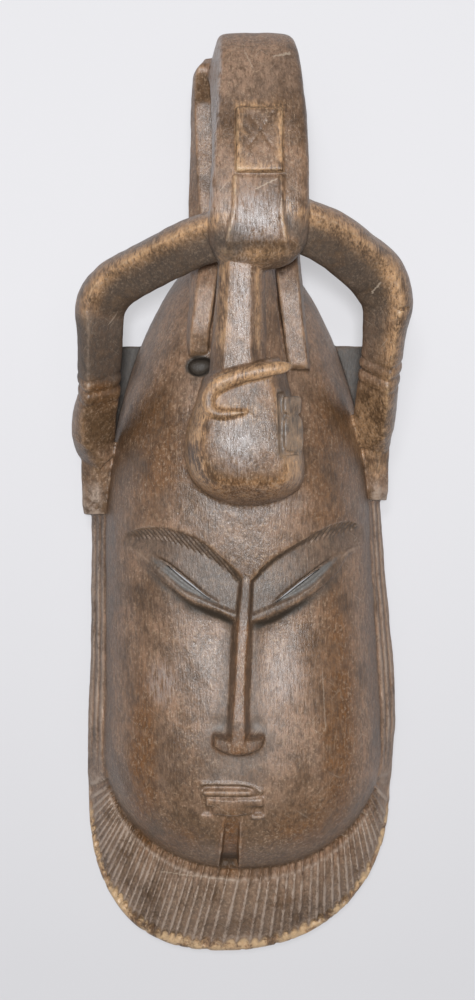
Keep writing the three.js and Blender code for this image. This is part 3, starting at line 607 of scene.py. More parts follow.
def panel_cut(from_x, to_x):
    """One of the panel's two crossed cuts, a thin wedge."""
    t = np.linspace(0, 1, 8)
    x, y = mix(from_x, to_x, t), mix(172, 191, t)
    top = chest_front(y) + 2.0
    return bar("panel_cut", y, [(x + dx, top + dz) for dx, dz in [(-1.3, 1.6), (1.3, 1.6), (0, -0.5)]])


joined += [torso_body(), strap_body()]
cut_away += [panel_cut(2, 14.8), panel_cut(14.8, 2)]


# The legs
# Two bars run from the hips down on to the forehead. Each has a flat front, an outer side cut as one broad
# bevel, and a blunt foot. A pit is drilled at the left foot.
LEG_FOOT_Y = {"left": 74.6, "right": 68.0}
LEG_EDGES = {
    "left": (
        through((66, -28.5), (81, -29.3), (119, -27.5), (150, -28.6), (190, -27.6), (220, -25.8), (229, -20)),
        through((66, -26.8), (81, -27.5), (119, -23.3), (150, -22.6), (190, -24.9), (220, -24.4), (229, -19)),
        through((66, -17), (81, -17.9), (119, -13.1), (150, -11), (180, -9.8), (212, -9.4), (229, -6)),
    ),
    "right": (
        through((66, 35.5), (117, 30.5), (150, 29.5), (162, 27.5), (205, 26), (229, 22)),
        through((66, 34), (117, 28.8), (150, 27.5), (205, 24), (229, 20)),
        through((66, 24), (117, 17.2), (150, 16.2), (212, 16), (229, 13)),
    ),
}
LEG_UPPER_LEVELS = [(135, 80), (150, 76.5), (206, 77), (219, 89), (229, 90)]
LEG_LEVELS = {
    "left": through((66, 80), (76, 81.5), (88, 86), (108, 86.5), *LEG_UPPER_LEVELS),
    "right": through((66, 81), (80, 82.5), (108, 85), *LEG_UPPER_LEVELS),
}


def leg_body(side):
    """The bar as slices along y, between its outer side, the arris of its front and its inner side. Its front
    falls away over the last few millimetres at both ends."""
    outer, arris, inner = LEG_EDGES[side]
    foot = LEG_FOOT_Y[side]
    y = np.concatenate([
        foot + np.array([0, 0.8, 2.0]), np.linspace(foot + 4, 223, 110), [225, 227, 228.4, 229],
    ])
    level = LEG_LEVELS[side](y)
    front = level + 10 - 1.6 * ease(y, foot + 2, foot) - 7 * ease(y, 222, 229) ** 2
    slant = np.sign(arris(150.0))
    return bar(f"{side}_leg", y, [
        (outer(y), level - 12),
        (outer(y), level + 2),
        (arris(y), front - 0.5),
        (arris(y) - 1.4 * slant, front),
        (inner(y) + 1.0 * slant, front),
        (inner(y), front - 1),
        (inner(y), level - 12),
    ])


PIT_X, PIT_Y = -22.6, 69.4
PIT_HALF_X, PIT_HALF_Y = 6.3, 4.9


def foot_pit():
    """The pit at the left foot: a short, slightly uneven oval that closes in to a round bottom."""
    angle = full_turn(32)
    uneven = 1 + 0.07 * np.sin(2 * angle + 0.6) + 0.05 * np.sin(3 * angle)
    rings = []
    for z, share in [(104, 1.1), (90, 1.0), (86, 0.8), (84.6, 0.4)]:
        x = PIT_X + PIT_HALF_X * share * uneven * np.cos(angle)
        y = PIT_Y + PIT_HALF_Y * share * uneven * np.sin(angle)
        rings.append(points_at(x, y, z))
    return closed_body("foot_pit", np.array(rings))


joined += [leg_body("left"), leg_body("right")]
cut_away.append(foot_pit())


# The arms
# Each arm is one bent bar from the shoulder to the hand. A ridge runs along it nearer to its outer side,
# with a broad plane below it, and two narrow rings are cut round the wrist.

# The stops of each arm's line, as x, y, z, half width and half depth.
LEFT_ARM = [
    (-6, 134.5, 134, 12.5, 10.5), (-28, 128, 123, 12.5, 10.5), (-54, 117.5, 104, 12.5, 10.5),
    (-67, 111, 95, 13, 10.5), (-74, 101.5, 89, 13.4, 10.5), (-75, 88, 83, 12, 10.5),
    (-76, 72, 74, 11.6, 10.5), (-77, 57, 65, 10.8, 10.5), (-80, 45, 55, 11.6, 10.5),
    (-80.5, 31, 46, 11.6, 8.5), (-77, 22, 40, 9, 8.5),
]
RIGHT_ARM = [
    (20, 140, 134, 13.5, 10.5), (42, 133, 123, 14, 10.5), (60, 123, 105, 14.5, 10.5),
    (69.5, 115.5, 95, 15, 10.5), (75, 104, 89, 13.8, 10.5), (74.5, 90, 82, 11.6, 10.5),
    (73.3, 75, 74, 11, 10.5), (72, 62, 66, 10.8, 10.5), (71.4, 50, 56, 11.2, 10.5), (71, 38, 47, 11, 8.5),
    (72.5, 30, 41, 8.5, 8.5),
]
WRIST_RINGS = {"left": (64.0, 57.5), "right": (71.0, 64.5)}

# Each hand ends in a facet that falls away beyond a slanting line, given as its y at x = 0 and its slope.
HAND_LINE = {"left": (-37.0, -0.774), "right": (-22.6, 0.73)}


def arm_body(name, stops, flip):
    """The bar: a bevelled section carried along the arm's line, with the wrist rings as two swellings and the
    hand's end bent down beyond its line."""
    path = smooth_path(stops, 190)
    half_width, half_depth = path[:, 3].copy(), path[:, 4].copy()
    for ring_y in WRIST_RINGS[name]:
        off = path[:, 1] - ring_y
        swell = 0.4 * np.exp(-((off / 1.9) ** 4)) - 0.8 * band(np.abs(off), 2.9, 0.8)
        half_width += swell * ease(path[:, 1], 85, 80)
        half_depth += swell * ease(path[:, 1], 85, 80)
    outline = closed_curve([
        (1, -0.2), (0.95, 0.2), (0.76, 0.7), (0.5, 1.0), (0.28, 0.98), (-0.46, 0.42), (-0.88, 0.04),
        (-1, -0.3), (-0.84, -0.8), (-0.3, -1), (0.5, -0.98), (0.92, -0.66),
    ], 60)
    rings = carried(path[:, :3], outline, half_width, half_depth, flip)
    start, slope = HAND_LINE[name]
    beyond = np.maximum(start + slope * rings[..., 0] - rings[..., 1], 0)
    rings[..., 2] -= 0.85 * beyond
    return closed_body(f"{name}_arm", rings)


def elbow_crease(points):
    """A shallow V cut along a line over an arm, given as (x, y, z) from end to end."""
    path = smooth_path(points, 24)
    rings = [path + (dx, dy, dz) for dx, dy, dz in [(-0.8, 1.4, 3.5), (0.8, -1.4, 3.5), (0, 0, -2.2)]]
    return closed_body("elbow_crease", np.stack(rings, axis=1))


joined += [arm_body("left", LEFT_ARM, 1), arm_body("right", RIGHT_ARM, -1)]
cut_away += [
    elbow_crease([(-84, 98.5, 96.5), (-78, 97.2, 99.2), (-70, 96.6, 96), (-63.5, 98, 90)]),
    elbow_crease([(-76.6, 97, 99), (-77.2, 88, 94.6), (-77.3, 78, 88)]),
    elbow_crease([(64, 99.5, 89), (71, 97.6, 95.5), (79, 97.6, 98), (86, 99.5, 93)]),
]


# The neck, the head and the lock
# The head hangs down and rests on the forehead. One thick lock crosses the nape and hooks round on the
# crown, and a notch in the head's side holds a flat two-lobed ear.
def neck_body():
    """The neck as slices along y: a flat front between two arrises, and straight sides."""
    stops = [(0, 132, 127), (-0.6, 122, 128.5), (-1.2, 108, 127), (-2.4, 72, 121), (-2.7, 52, 118)]
    path = smooth_path(stops, 60)
    y = path[:, 1]
    half_width = through((52, 15.2), (72, 13.8), (95, 12.4), (110, 11.8), (124, 10.6), (132, 8))(y)
    half_depth = through((52, 16), (72, 15), (95, 13), (118, 12), (126, 11), (132, 7))(y)
    outline = closed_curve([
        (1, -0.3), (0.98, 0.2), (0.86, 0.52), (0.62, 0.86), (0.5, 0.97), (0, 1), (-0.42, 0.97), (-0.54, 0.86),
        (-0.84, 0.5), (-0.98, 0.15), (-1, -0.3), (-0.6, -1), (0.6, -1),
    ], 64)
    return closed_body("neck", carried(path, outline, half_width, half_depth))


def neck_facet():
    """The low facet on the neck's right, between it and the leg, which sinks a little towards the head."""
    low_y, high_y, bottom = 58, 124, 108
    y = np.linspace(low_y, high_y, 30)
    sunk = (high_y - y) / (high_y - low_y)
    edge = through((low_y, 22.5), (69, 21), (108, 16), (high_y, 13))(y)
    return bar("neck_facet", y, [
        (0, bottom),
        (0, mix(130, 126, sunk)),
        (9, mix(127, 123, sunk)),
        (edge, mix(114, 111, sunk)),
        (edge, bottom),
    ])


HEAD_BACK = 92.0
HEAD_TOP_SLANT = 0.25


def head_body():
    """The head as slices along y: a flat front with wide bevels, straight sides, an underside that turns in
    under a worn arris, and a top that runs slanting over the neck."""
    y = np.concatenate([
        -2.6 + 9 * (1 - np.cos(np.linspace(0, np.pi / 2, 26))),
        np.linspace(7, 58, 62),
        58 + 9.8 * np.sin(np.linspace(0, np.pi / 2, 16)),
    ])
    left = through(
        (-2.6, -3), (0, -11.5), (3, -17), (7, -21.5), (12.5, -25.2), (20, -27.3), (30, -27.8), (40, -26),
        (50, -22.6), (60, -21), (67.8, -19.5),
    )(y)
    right = through(
        (-2.6, 8), (0, 18), (3, 23.5), (7, 27.5), (12, 29.4), (20, 29.6), (32, 28), (43, 26.3), (55, 22.5),
        (67.8, 18),
    )(y)
    front = through(
        (-2.6, 104), (-1, 115), (1.5, 124), (5, 131.5), (9.5, 136), (17, 138.5), (30, 140), (50, 139),
        (62, 138), (66.4, 136.5), (67.8, 132),
    )(y)
    outline = closed_curve([
        (-1, -1), (-1.01, -0.1), (-0.98, 0.3), (-0.82, 0.74), (-0.58, 0.95), (0, 1), (0.54, 0.96),
        (0.76, 0.8), (0.98, 0.3), (1.01, -0.1), (1, -1), (0, -1.02),
    ], 72)
    half_depth = (front - HEAD_BACK) / 2
    x = ((left + right) / 2)[:, None] + ((right - left) / 2)[:, None] * outline[None, :, 0]
    z = (HEAD_BACK + half_depth)[:, None] + half_depth[:, None] * outline[None, :, 1]
    slanted = y[:, None] + HEAD_TOP_SLANT * x * ease(y, 48, 66)[:, None]
    return closed_body("head", points_at(x, slanted, z))


LOCK_LINE = [
    (24.4, 66.6, 135.5), (21, 66.0, 137), (13, 64.6, 139), (2.8, 62.6, 139.8), (-4.1, 60.6, 139.6),
    (-10.5, 58.0, 138.5), (-15, 54.7, 137), (-17.2, 50.2, 136.2), (-16.9, 46.3, 136.6), (-14.4, 43.5, 137.6),
    (-10.5, 42.4, 138.8), (-5.6, 42.5, 139.8), (1.6, 43.6, 140),
]
lock_radius = through(
    (0, 0.8), (0.05, 2.6), (0.14, 3.5), (0.4, 3.9), (0.62, 4), (0.78, 3), (0.92, 1.7), (1, 0.5),
)


def lock_body():
    """The lock: a round cord that thins to a point, along a hooked line over the head's front."""
    path = smooth_path(LOCK_LINE, 140)
    radius = lock_radius(np.linspace(0, 1, len(path)))
    angle = full_turn(28)
    outline = np.stack([np.cos(angle), np.sin(angle)], axis=-1)
    return closed_body("lock", carried(path, outline, radius, radius))


def ear_notch():
    """The space cut out of the head's side for the ear, with a floor that falls away to the right."""
    corners = np.array([(17.8, 21.2), (40, 24.5), (40, 56), (16.8, 53.4)])
    slope = -0.62
    rings = []
    for z, lean in [(141.4, 0), (190, 4)]:
        rings.append(np.column_stack([corners + (0, lean), corners[:, 0] * slope + z]))
    return closed_body("ear_notch", np.array(rings))


def ear_lobe(middle, half):
    """A flat lobe of the ear, standing in the notch: a rounded rectangle that leans with the head's side."""
    angle = full_turn(48)
    rings = []
    for level, share in [(-6, 1), (-0.5, 1), (0.1, 0.9), (0.4, 0.5)]:
        x = middle[0] + half[0] * share * bent(np.cos(angle), 5)
        y = middle[1] + half[1] * share * bent(np.sin(angle), 5)
        rings.append(points_at(x, y, middle[2] + level - 0.75 * (x - middle[0])))
    return closed_body("ear_lobe", np.array(rings))


joined += [neck_body(), neck_facet(), head_body()]
cut_away.append(ear_notch())
added_last = [
    lock_body(),
    ear_lobe((24.6, 47.6, 128.8), (4.6, 4.4)),
    ear_lobe((25.2, 33.2, 127.8), (4.8, 9.0)),
]


# The block
# All of it is one piece of wood, so the forms are joined into one solid and the hollows are cut away.
# The knife left no truly flat plane and no razor edge: every arris is softened by handling.
VOXEL = 0.65
TRIANGLES = 194_000
FACE_PLACE = np.array([1.64, 6.72, 0.0])
MM = 0.001


def modified(block, *steps):
    """Puts the block through modifiers, given as (type, settings), and keeps only the result."""
    for kind, settings in steps:
        modifier = block.modifiers.new(kind.lower(), kind)
        for key, value in settings.items():
            setattr(modifier, key, value)
    graph = bpy.context.evaluated_depsgraph_get()
    mesh = bpy.data.meshes.new_from_object(block.evaluated_get(graph))
    block.modifiers.clear()
    old, block.data = block.data, mesh
    bpy.data.meshes.remove(old)
    return block


def places(mesh):
    """The mesh's vertices as an array (n, 3)."""
    co = np.empty(3 * len(mesh.vertices), np.float32)
    mesh.vertices.foreach_get("co", co)
    return co.reshape(-1, 3).astype(float)


def facing(mesh):
    """The direction that the surface faces at each vertex (n, 3)."""
    normal = np.empty(3 * len(mesh.vertices), np.float32)
    mesh.vertex_normals.foreach_get("vector", normal)
    return normal.reshape(-1, 3).astype(float)


def moved(mesh, co):
    """Puts the mesh's vertices at the places (n, 3)."""
    mesh.vertices.foreach_set("co", co.astype(np.float32).ravel())
    mesh.update()


def boolean(operation, piece):
    """The modifier step that joins a piece to the block or cuts it away."""
    return ("BOOLEAN", {"operation": operation, "solver": "MANIFOLD", "object": piece})


block = face
modified(
    block,
    *[boolean("UNION", piece) for piece in joined],
    *[boolean("DIFFERENCE", piece) for piece in cut_away],
    *[boolean("UNION", piece) for piece in added_last],
)
modified(
    block,
    ("REMESH", {"mode": "VOXEL", "voxel_size": VOXEL}),
    ("SMOOTH", {"factor": 0.5, "iterations": 3}),
    *[boolean("DIFFERENCE", piece) for piece in eye_slits],
)
for piece in joined + cut_away + added_last + eye_slits:
    bpy.data.objects.remove(piece)


# The tool marks
# The block was finished with a knife, so its planes are slightly uneven. Short slanting cuts cross the brows,
# and the beard's thin outer rim is nicked all round.
UNEVENNESS, HATCH_DEPTH, NICK_DEPTH = 0.15, 0.75, 0.8


def waves(points, lengths, seed):
    """Smooth unevenness, mostly between -1 and 1: plane waves of these lengths in random directions."""
    rng = np.random.default_rng(seed)
    total = np.zeros(len(points))
    for length in lengths:
        direction = rng.normal(size=3)
        direction *= 2 * np.pi / (length * np.linalg.norm(direction))
        total += np.sin(points @ direction + rng.uniform(0, 2 * np.pi))
    return total / np.sqrt(len(lengths))


def brow_hatch(x, y):
    """The cuts over the brows: a power of a cosine across slanting lines, strongest at the outer ends."""
    on_brow = ease(brow_line(x) - y, 0.1, 1.0) * ease(y - bevel_line(x), -0.3, 0.9)
    left = np.cos(np.pi * (x + 0.85 * y) / 2.2) ** 4 * ease(x, -2, -8) * ease(x, -62, -54)
    right = np.cos(np.pi * (x - 0.7 * y) / 2.3) ** 4 * ease(x, 26, 36) * ease(x, 66, 60)
    return on_brow * (left + right)


def from_chin(x, y):
    """How far out a place is from the jaw's middle: 1 on the superellipse where the chin meets the beard."""
    return np.abs(x / 77.5) ** 2.15 + np.maximum((JAW_Y - y) / (JAW_Y - CHIN_Y + 0.5), 0) ** 2.15


def beard_share(x, y):
    """1 on the beard's slope, outside the face's own outline, and 0 on the face."""
    return ease(from_chin(x, y), 0.98, 1.03) * ease(y, -146, -153)


marked = places(block.data)
x, y, z = marked.T
normal = facing(block.data)
depth = UNEVENNESS * waves(marked, np.linspace(6, 34, 18), 1)
depth -= HATCH_DEPTH * brow_hatch(x, y) * (normal[:, 2] > 0.3) * (z > 60)
rim = ease(z, 15.5, 10.5) * ease(y, -160, -185) * ease(z, 0, 3)
depth -= NICK_DEPTH * rim * np.maximum(waves(marked, np.linspace(3.5, 9, 10), 2) - 0.3, 0)
moved(block.data, marked + normal * depth[:, None])


# The wear
# Handling rubbed the arrises bare and polished the broad rounds, and dust settled in the hollows; painted
# shade, sheen and highlights are laid in with them. How far a point stands out of its surroundings is
# measured against the same surface smoothed over.

# Where hands rubbed the wood brown, and where cloth polished it to a gloss that carries a cool painted
# highlight: the chest, the neck, the head's front, the cheeks and the forehead. Each place is an oval, given
# by its middle, half width, half length, lowest height and strength.
RUBBED = [
    (-53.5, -140, 8, 50, 20, 1.0),
    (50.5, -116, 9, 66, 20, 1.0),
    (33, -172, 18, 13, 20, 0.7),
    (-36, -180, 15, 9, 20, 0.6),
    (-45, 24, 15, 34, 30, 0.6),
    (45, 24, 14, 34, 30, 0.6),
    (45, -8, 17, 5, 60, 0.7),
    (-6.5, -184, 6, 18, 20, 1.6),
    (-74, 76, 9, 24, 40, 0.8),
]
GLOSS_AND_HIGHLIGHT_PLACES = [
    (6, 139, 15, 12, 140, 1.0),
    (-1, 98, 5, 24, 130, 0.8),
    (-2, 26, 9, 14, 130, 0.8),
    (-42, -96, 9, 12, 60, 0.6),
    (22, -92, 10, 14, 60, 0.45),
    (8, -2, 26, 9, 80, 0.35),
]


def stands_proud(iterations, full):
    """How far each point stands out of the smoothed surface, 1 at full millimetres and -1 as far below it."""
    smooth = block.copy()
    smooth.data = block.data.copy()
    bpy.context.scene.collection.objects.link(smooth)
    modified(smooth, ("SMOOTH", {"factor": 0.5, "iterations": iterations}))
    away = np.sum((places(block.data) - places(smooth.data)) * facing(block.data), axis=1)
    bpy.data.objects.remove(smooth)
    return np.clip(away / full, -1, 1)


def beside(points, path, reach, flip=1):
    """How far each point within reach of a path lies to its outer side, as a share of the path's half width,
    and 9 for every other point. The nearest of the path's points decides."""
    along = np.gradient(path[:, :3], axis=0)
    across = np.cross(along, [0, 0, 1.0])
    across *= flip / np.linalg.norm(across, axis=1, keepdims=True)
    low, high = path[:, :3].min(axis=0) - reach, path[:, :3].max(axis=0) + reach
    close = np.flatnonzero(np.all((points > low) & (points < high), axis=1))
    away = np.linalg.norm(points[close, None] - path[None, :, :3], axis=2)
    nearest = away.argmin(axis=1)
    offset = np.sum((points[close] - path[nearest, :3]) * across[nearest], axis=1) / path[nearest, 3]
    share = np.full(len(points), 9.0)
    share[close] = np.where(away.min(axis=1) < reach, offset, 9.0)
    return share


def within_ovals(given, end, full):
    """The strongest of the given ovals at each point. An oval ends at the first share of its half sizes and
    has its full strength inside the second."""
    strongest = np.zeros(len(x))
    for middle_x, middle_y, half_x, half_y, lowest, strength in given:
        reach = np.hypot((x - middle_x) / half_x, (y - middle_y) / half_y)
        strongest = np.maximum(strongest, strength * ease(reach, end, full) * (z > lowest))
    return strongest


# The wood is worn to gold along the ridge of each arm, on the lock, the panel's and the strap's borders, the
# neck's arrises, the turn of the head, the right hand and the chest's lower edge. Less gold on the left
# forearm is painted shade, and more on the head's left side is painted light.
normal = facing(block.data)
up = normal[:, 2]
on_relief = z > 60
left_share = beside(marked, smooth_path(LEFT_ARM, 60), 17, 1)
right_share = beside(marked, smooth_path(RIGHT_ARM, 60), 17, -1)
# The left arm's gold fades out below the elbow, where its forearm lies in shade: painted shade.
arm_ridge = np.maximum(
    band(left_share, 0.42, 0.3) * mix(0.12, 1, ease(y, 84, 102)),
    band(right_share, 0.4, 0.42) * mix(0.6, 1, ease(y, 60, 90)),
)
# The lower plane of each arm faces away from the light and is darkened: painted shade.
arm_underside_shade = np.maximum(ease(left_share, 0.15, -0.2), ease(right_share, 0.15, -0.2)) * ease(y, 60, 90)
lock_path = smooth_path([(*stop, 3.4) for stop in LOCK_LINE], 60)
on_lock = ease(np.abs(beside(marked, lock_path, 5.0)), 1.6, 1.2)
on_head = (z > 100) * ease(np.abs(x), 31.5, 30.5) * ease(y, 62, 48) * ease(y, -5, -3)
head_turn = on_head * ease(up, 0.985, 0.78)
# The head's gold is stronger on its left side, where more light falls: painted light.
head_gold_and_light = head_turn * mix(0.6, 1.0, ease(y, 6, 20)) * mix(1.0, 1.5, ease(x, -12, -22))
on_neck = (z > 118) * ease(y, 72, 78) * ease(y, 126, 120)
neck_arris = on_neck * np.maximum(band(x, -10.6, 2.8), 0.8 * band(x, 7.0, 1.3))
from_border = np.minimum(PANEL_HALF_WIDTH - np.abs(x - PANEL_MIDDLE), y - PANEL_FOOT_Y)
from_border = np.minimum(from_border, PANEL_TOP_Y - y)
panel_border = ease(from_border, 3.2, 1.6) * ease(from_border, -1.0, 0.0) * (z > 135)
strap_edge = band(np.abs(x - 7), strap_half_width(y) - 0.8, 1.6) * (z > 125)
strap_edge *= ease(y, 123, 132) * ease(y, 161, 157)
right_hand = ease(np.abs(right_share), 1.3, 1.1) * ease(y, 68, 56)
chest_end = band(y, STRAP_END_Y, 2.2) * ease(np.abs(x - 7), 19, 14) * (z > 120)
gold_wear_and_light = np.maximum.reduce([
    arm_ridge, on_lock, head_gold_and_light, 1.2 * neck_arris, panel_border, 0.8 * strap_edge, 0.5 * right_hand,
    0.6 * chest_end,
])

# Dirt and painted shade lie where no hand reaches and where shade falls: on the plate behind the hands, in
# the foot's pit and the ear's notch, beside the nose, in the eyes, in the step under each eye, under the
# arms, on the left forearm and on the shell's flanks. Painted shadow is blackest in the pit, in that step and
# at the foot of the chin's strip.
from_pit = np.hypot((x - PIT_X) / PIT_HALF_X, (y - PIT_Y) / PIT_HALF_Y)
from_axis = np.abs(x - nose_axis(y))
from_nose = np.abs(x - 1.5)
on_plate = ease(np.abs(x), 48, 54) * ease(y, 22, 34) * ease(z, 24, 16)
in_pit = ease(from_pit, 1.35, 0.95) * ease(z, 98, 94)
in_ear = ease(x, 15.5, 17.5) * ease(y, 20, 23) * ease(y, 57, 54) * (z > 106)
nose_side = band(from_axis, nose_half_base(y) + 0.8, 3.4) * on_relief
nose_side *= ease(y, -136, -128) * ease(y, -50, -75)
wing_side = band(np.hypot(from_axis / 17, (y + 126) / 9), 1.0, 0.22) * on_relief
under_eye = band(y, rim_outer_line(x) - 2.6, 2.4) * ease(np.abs(x), 62, 46) * (z > 40)
under_eye *= ease(from_axis, 3.4, 6.5)
# The left forearm is darkened as well: painted shade.
left_forearm_shade = ease(np.abs(left_share), 1.3, 1.1) * ease(y, 100, 92) * ease(y, 58, 66)
in_eye = ease(brow_line(x) - y, 0, 2) * ease(y - rim_outer_line(x), 0, 2) * ease(np.abs(x), 67, 60) * (z > 40)
# The shell's steep flanks are darkened and warmed: painted shade.
flank_shade = ease(up, 0.55, 0.2) * ease(np.abs(x), 52, 58) * ease(y, 40, 20) * ease(y, -150, -135) * (z > 14)
strip_end = slab(x, y, -13, -2.6, -200.5, -189, 6) * (z > 30)
dirt_and_shade = np.maximum.reduce([
    on_plate, 0.95 * in_pit, 0.3 * in_ear, 0.45 * nose_side, 0.5 * wing_side, 0.75 * under_eye,
    0.55 * arm_underside_shade, 0.75 * left_forearm_shade, 0.45 * in_eye, 0.3 * flank_shade,
])
# Near-black painted shadow in the pit, in the step under each eye and at the foot of the chin's strip.
painted_shadow = np.maximum.reduce([in_pit, 0.9 * under_eye * ease(from_nose, 46, 26), 0.7 * strip_end])

# The nose is rubbed to copper, the head's turn to brown, and the shell's flanks are darkened to brown by
# painted shade.
# The torso's left side carries a painted sheen, with the same gloss and cool colour as its front.
on_nose = on_relief * ease(from_axis, nose_half_ridge(y) + 1.6, nose_half_ridge(y) + 0.2)
on_nose *= ease(y, -134, -131) * ease(y, -40, -46)
on_wings = ease(from_axis, 15, 13) * ease(y, -135, -132) * ease(y, -119.5, -122) * on_relief
copper = np.maximum(on_nose, on_wings)
rubbed = np.maximum.reduce([
    within_ovals(RUBBED, 1.5, 0.4), mix(1.1, 0.6, ease(y, 8, 24)) * head_turn, 0.75 * copper, 0.8 * flank_shade,
])
torso_side_sheen = ease(-normal[:, 0], 0.3, 0.75) * (x < -6) * (z > 100) * (y > 140)
gloss_and_highlight = np.maximum(within_ovals(GLOSS_AND_HIGHLIGHT_PLACES, 1.4, 0.3), torso_side_sheen)

# Pale dust lies in the eyes' lenses, in the hollows over the nose's wings, under the nose and on the ear.
in_lens = ease(lid_line(x) - y, 0.4, 1.4) * ease(y - rim_inner_line(x), -0.4, 0.6)
in_lens *= ease(from_nose, 12, 18) * ease(from_nose, 52, 42) * (z > 40)
over_wing = band(from_axis, 10, 5) * band(y, -117, 6) * on_relief
under_nose = band(x, -4, 17) * band(y, -141, 8) * on_relief
dusty = np.maximum.reduce([in_lens, 0.5 * over_wing, 0.45 * in_ear, 0.5 * under_nose])

# The arrises are pale with wear, and the grooves dark with dirt and painted shade. The arrises of the eye
# slits, the ear, the pit and the nose are kept duller, the brows' bevels darker than the forehead by painted
# shade, and a pale line runs where the chin meets the beard.
edge = stands_proud(8, 0.3)
slit = ease(np.abs(y - lid_line(x) + 1.5), 5.4, 3.8) * ease(np.abs(x), 48, 44) * ease(np.abs(x), 10, 14)
kept_dull = np.maximum.reduce([slit, 0.7 * in_ear, ease(from_pit, 2.0, 1.4)])
# The pit, the step under each eye and the foot of the chin's strip are also pushed towards the dark groove
# colour: painted shadow.
edge = np.where(edge > 0, edge * (1 - kept_dull), edge) * (1 - in_pit) - in_pit
edge = np.maximum(edge - 0.9 * under_eye * ease(from_nose, 50, 30) - 0.7 * strip_end * (edge < 0.3), -1)
brow_shade = ease(brow_line(x) - y, 0.2, 1.2) * ease(y - bevel_line(x), -0.4, 0.6)
brow_shade *= ease(np.abs(x), 66, 60) * on_relief
edge = np.maximum(edge - 0.35 * brow_shade, -1)
chin_line = band(from_chin(x, y), 1.0, 0.02) * ease(y, -150, -165) * (z > 30)
edge = np.maximum(edge, 0.4 * chin_line)
edge = np.where(edge > 0, edge * (1 - 0.7 * copper), edge)
on_band = ease(np.abs(x - face_middle(y)) - face_half_width(y), -2, 1) * (z > 10)
on_band *= ease(y, 12, 4) * ease(y, -160, -145)
wear = {
    "edge": np.maximum(edge, 0.8 * rim),
    "form": stands_proud(100, 2.0) * (1 - slit) * (1 - 0.6 * copper),
    "rubbed": rubbed,
    "beard": np.maximum(beard_share(x, y), 0.8 * on_band) * ease(rim, 0.4, 0),
    "gold_wear_and_light": np.maximum(gold_wear_and_light, 0.7 * rim),
    "dirt_and_shade": dirt_and_shade,
    "gloss_and_highlight": gloss_and_highlight,
    "dusty": dusty,
    "painted_shadow": painted_shadow,
}
for name, values in wear.items():
    attribute = block.data.attributes.new(name, "FLOAT", "POINT")
    attribute.data.foreach_set("value", values.astype(np.float32))
block.data.calc_loop_triangles()
ratio = TRIANGLES / len(block.data.loop_triangles)
modified(block, ("DECIMATE", {"ratio": ratio, "use_collapse_triangulate": True}))
moved(block.data, (places(block.data) + FACE_PLACE) * MM)
block.data.shade_smooth()
block.name = "carved_mask"


# The wood
# A dense hardwood, stained dark brown and waxed. It is tan where it is worn bare, dull grey-brown where dust
# has settled, and its fine grain runs the long way of the mask. Painted shade, sheen and highlights are laid
# in as well.
wood = bpy.data.materials.new("carved_wood")
wood.use_nodes = True
tree = wood.node_tree
shader = tree.nodes["Principled BSDF"]


def add(kind, inputs, **settings):
    """A new node of the wood, with its inputs given as values or as outputs of other nodes."""
    made = tree.nodes.new(kind)
    for key, value in settings.items():
        setattr(made, key, value)
    for key, value in inputs.items():
        if isinstance(value, bpy.types.NodeSocket):
            tree.links.new(value, made.inputs[key])
        else:
            made.inputs[key].default_value = value
    return made


place = add("ShaderNodeTexCoord", {}).outputs["Object"]
faces = add("ShaderNodeSeparateXYZ", {"Vector": add("ShaderNodeNewGeometry", {}).outputs["Normal"]}).outputs


def noise(scale, stretch=(1, 1, 1), detail=3.0, roughness=0.55):
    """Cloudy noise of that many clouds in a metre, drawn out where stretch is small."""
    mapped = add("ShaderNodeMapping", {"Vector": place, "Scale": stretch}).outputs["Vector"]
    inputs = {"Vector": mapped, "Scale": scale, "Detail": detail, "Roughness": roughness}
    return add("ShaderNodeTexNoise", inputs).outputs[0]


def streaks(turn, length, width):
    """Noise drawn out into streaks of that length and width, turned by an angle over the mask's face."""
    inputs = {"Vector": place, "Rotation": (0, 0, turn), "Scale": (length, width, length)}
    turned = add("ShaderNodeMapping", inputs, vector_type="TEXTURE").outputs["Vector"]
    return add("ShaderNodeTexNoise", {"Vector": turned, "Scale": 1.0, "Detail": 2.0}).outputs[0]


def within(value, low, high, top=1.0):
    """0 at low and top at high, by a smooth step."""
    inputs = {"Value": value, "From Min": low, "From Max": high, "To Max": top}
    return add("ShaderNodeMapRange", inputs, interpolation_type="SMOOTHSTEP").outputs[0]


def times(a, b):
    """One value multiplied by another."""
    return add("ShaderNodeMath", {0: a, 1: b}, operation="MULTIPLY").outputs[0]


def plus(a, b):
    """Two values added."""
    return add("ShaderNodeMath", {0: a, 1: b}, operation="ADD").outputs[0]


def blend(under, over, share):
    """The colour over laid on the colour under."""
    return add("ShaderNodeMix", {0: share, 6: under, 7: over}, data_type="RGBA").outputs[2]


def worn_by(name):
    """One of the kinds of wear that the piece carries."""
    return add("ShaderNodeAttribute", {}, attribute_name=name).outputs["Fac"]


def shaded(colour, value):
    """The colour made darker or lighter by a factor."""
    inputs = {0: 1.0, 6: colour, 7: value}
    return add("ShaderNodeMix", inputs, data_type="RGBA", blend_type="MULTIPLY").outputs[2]


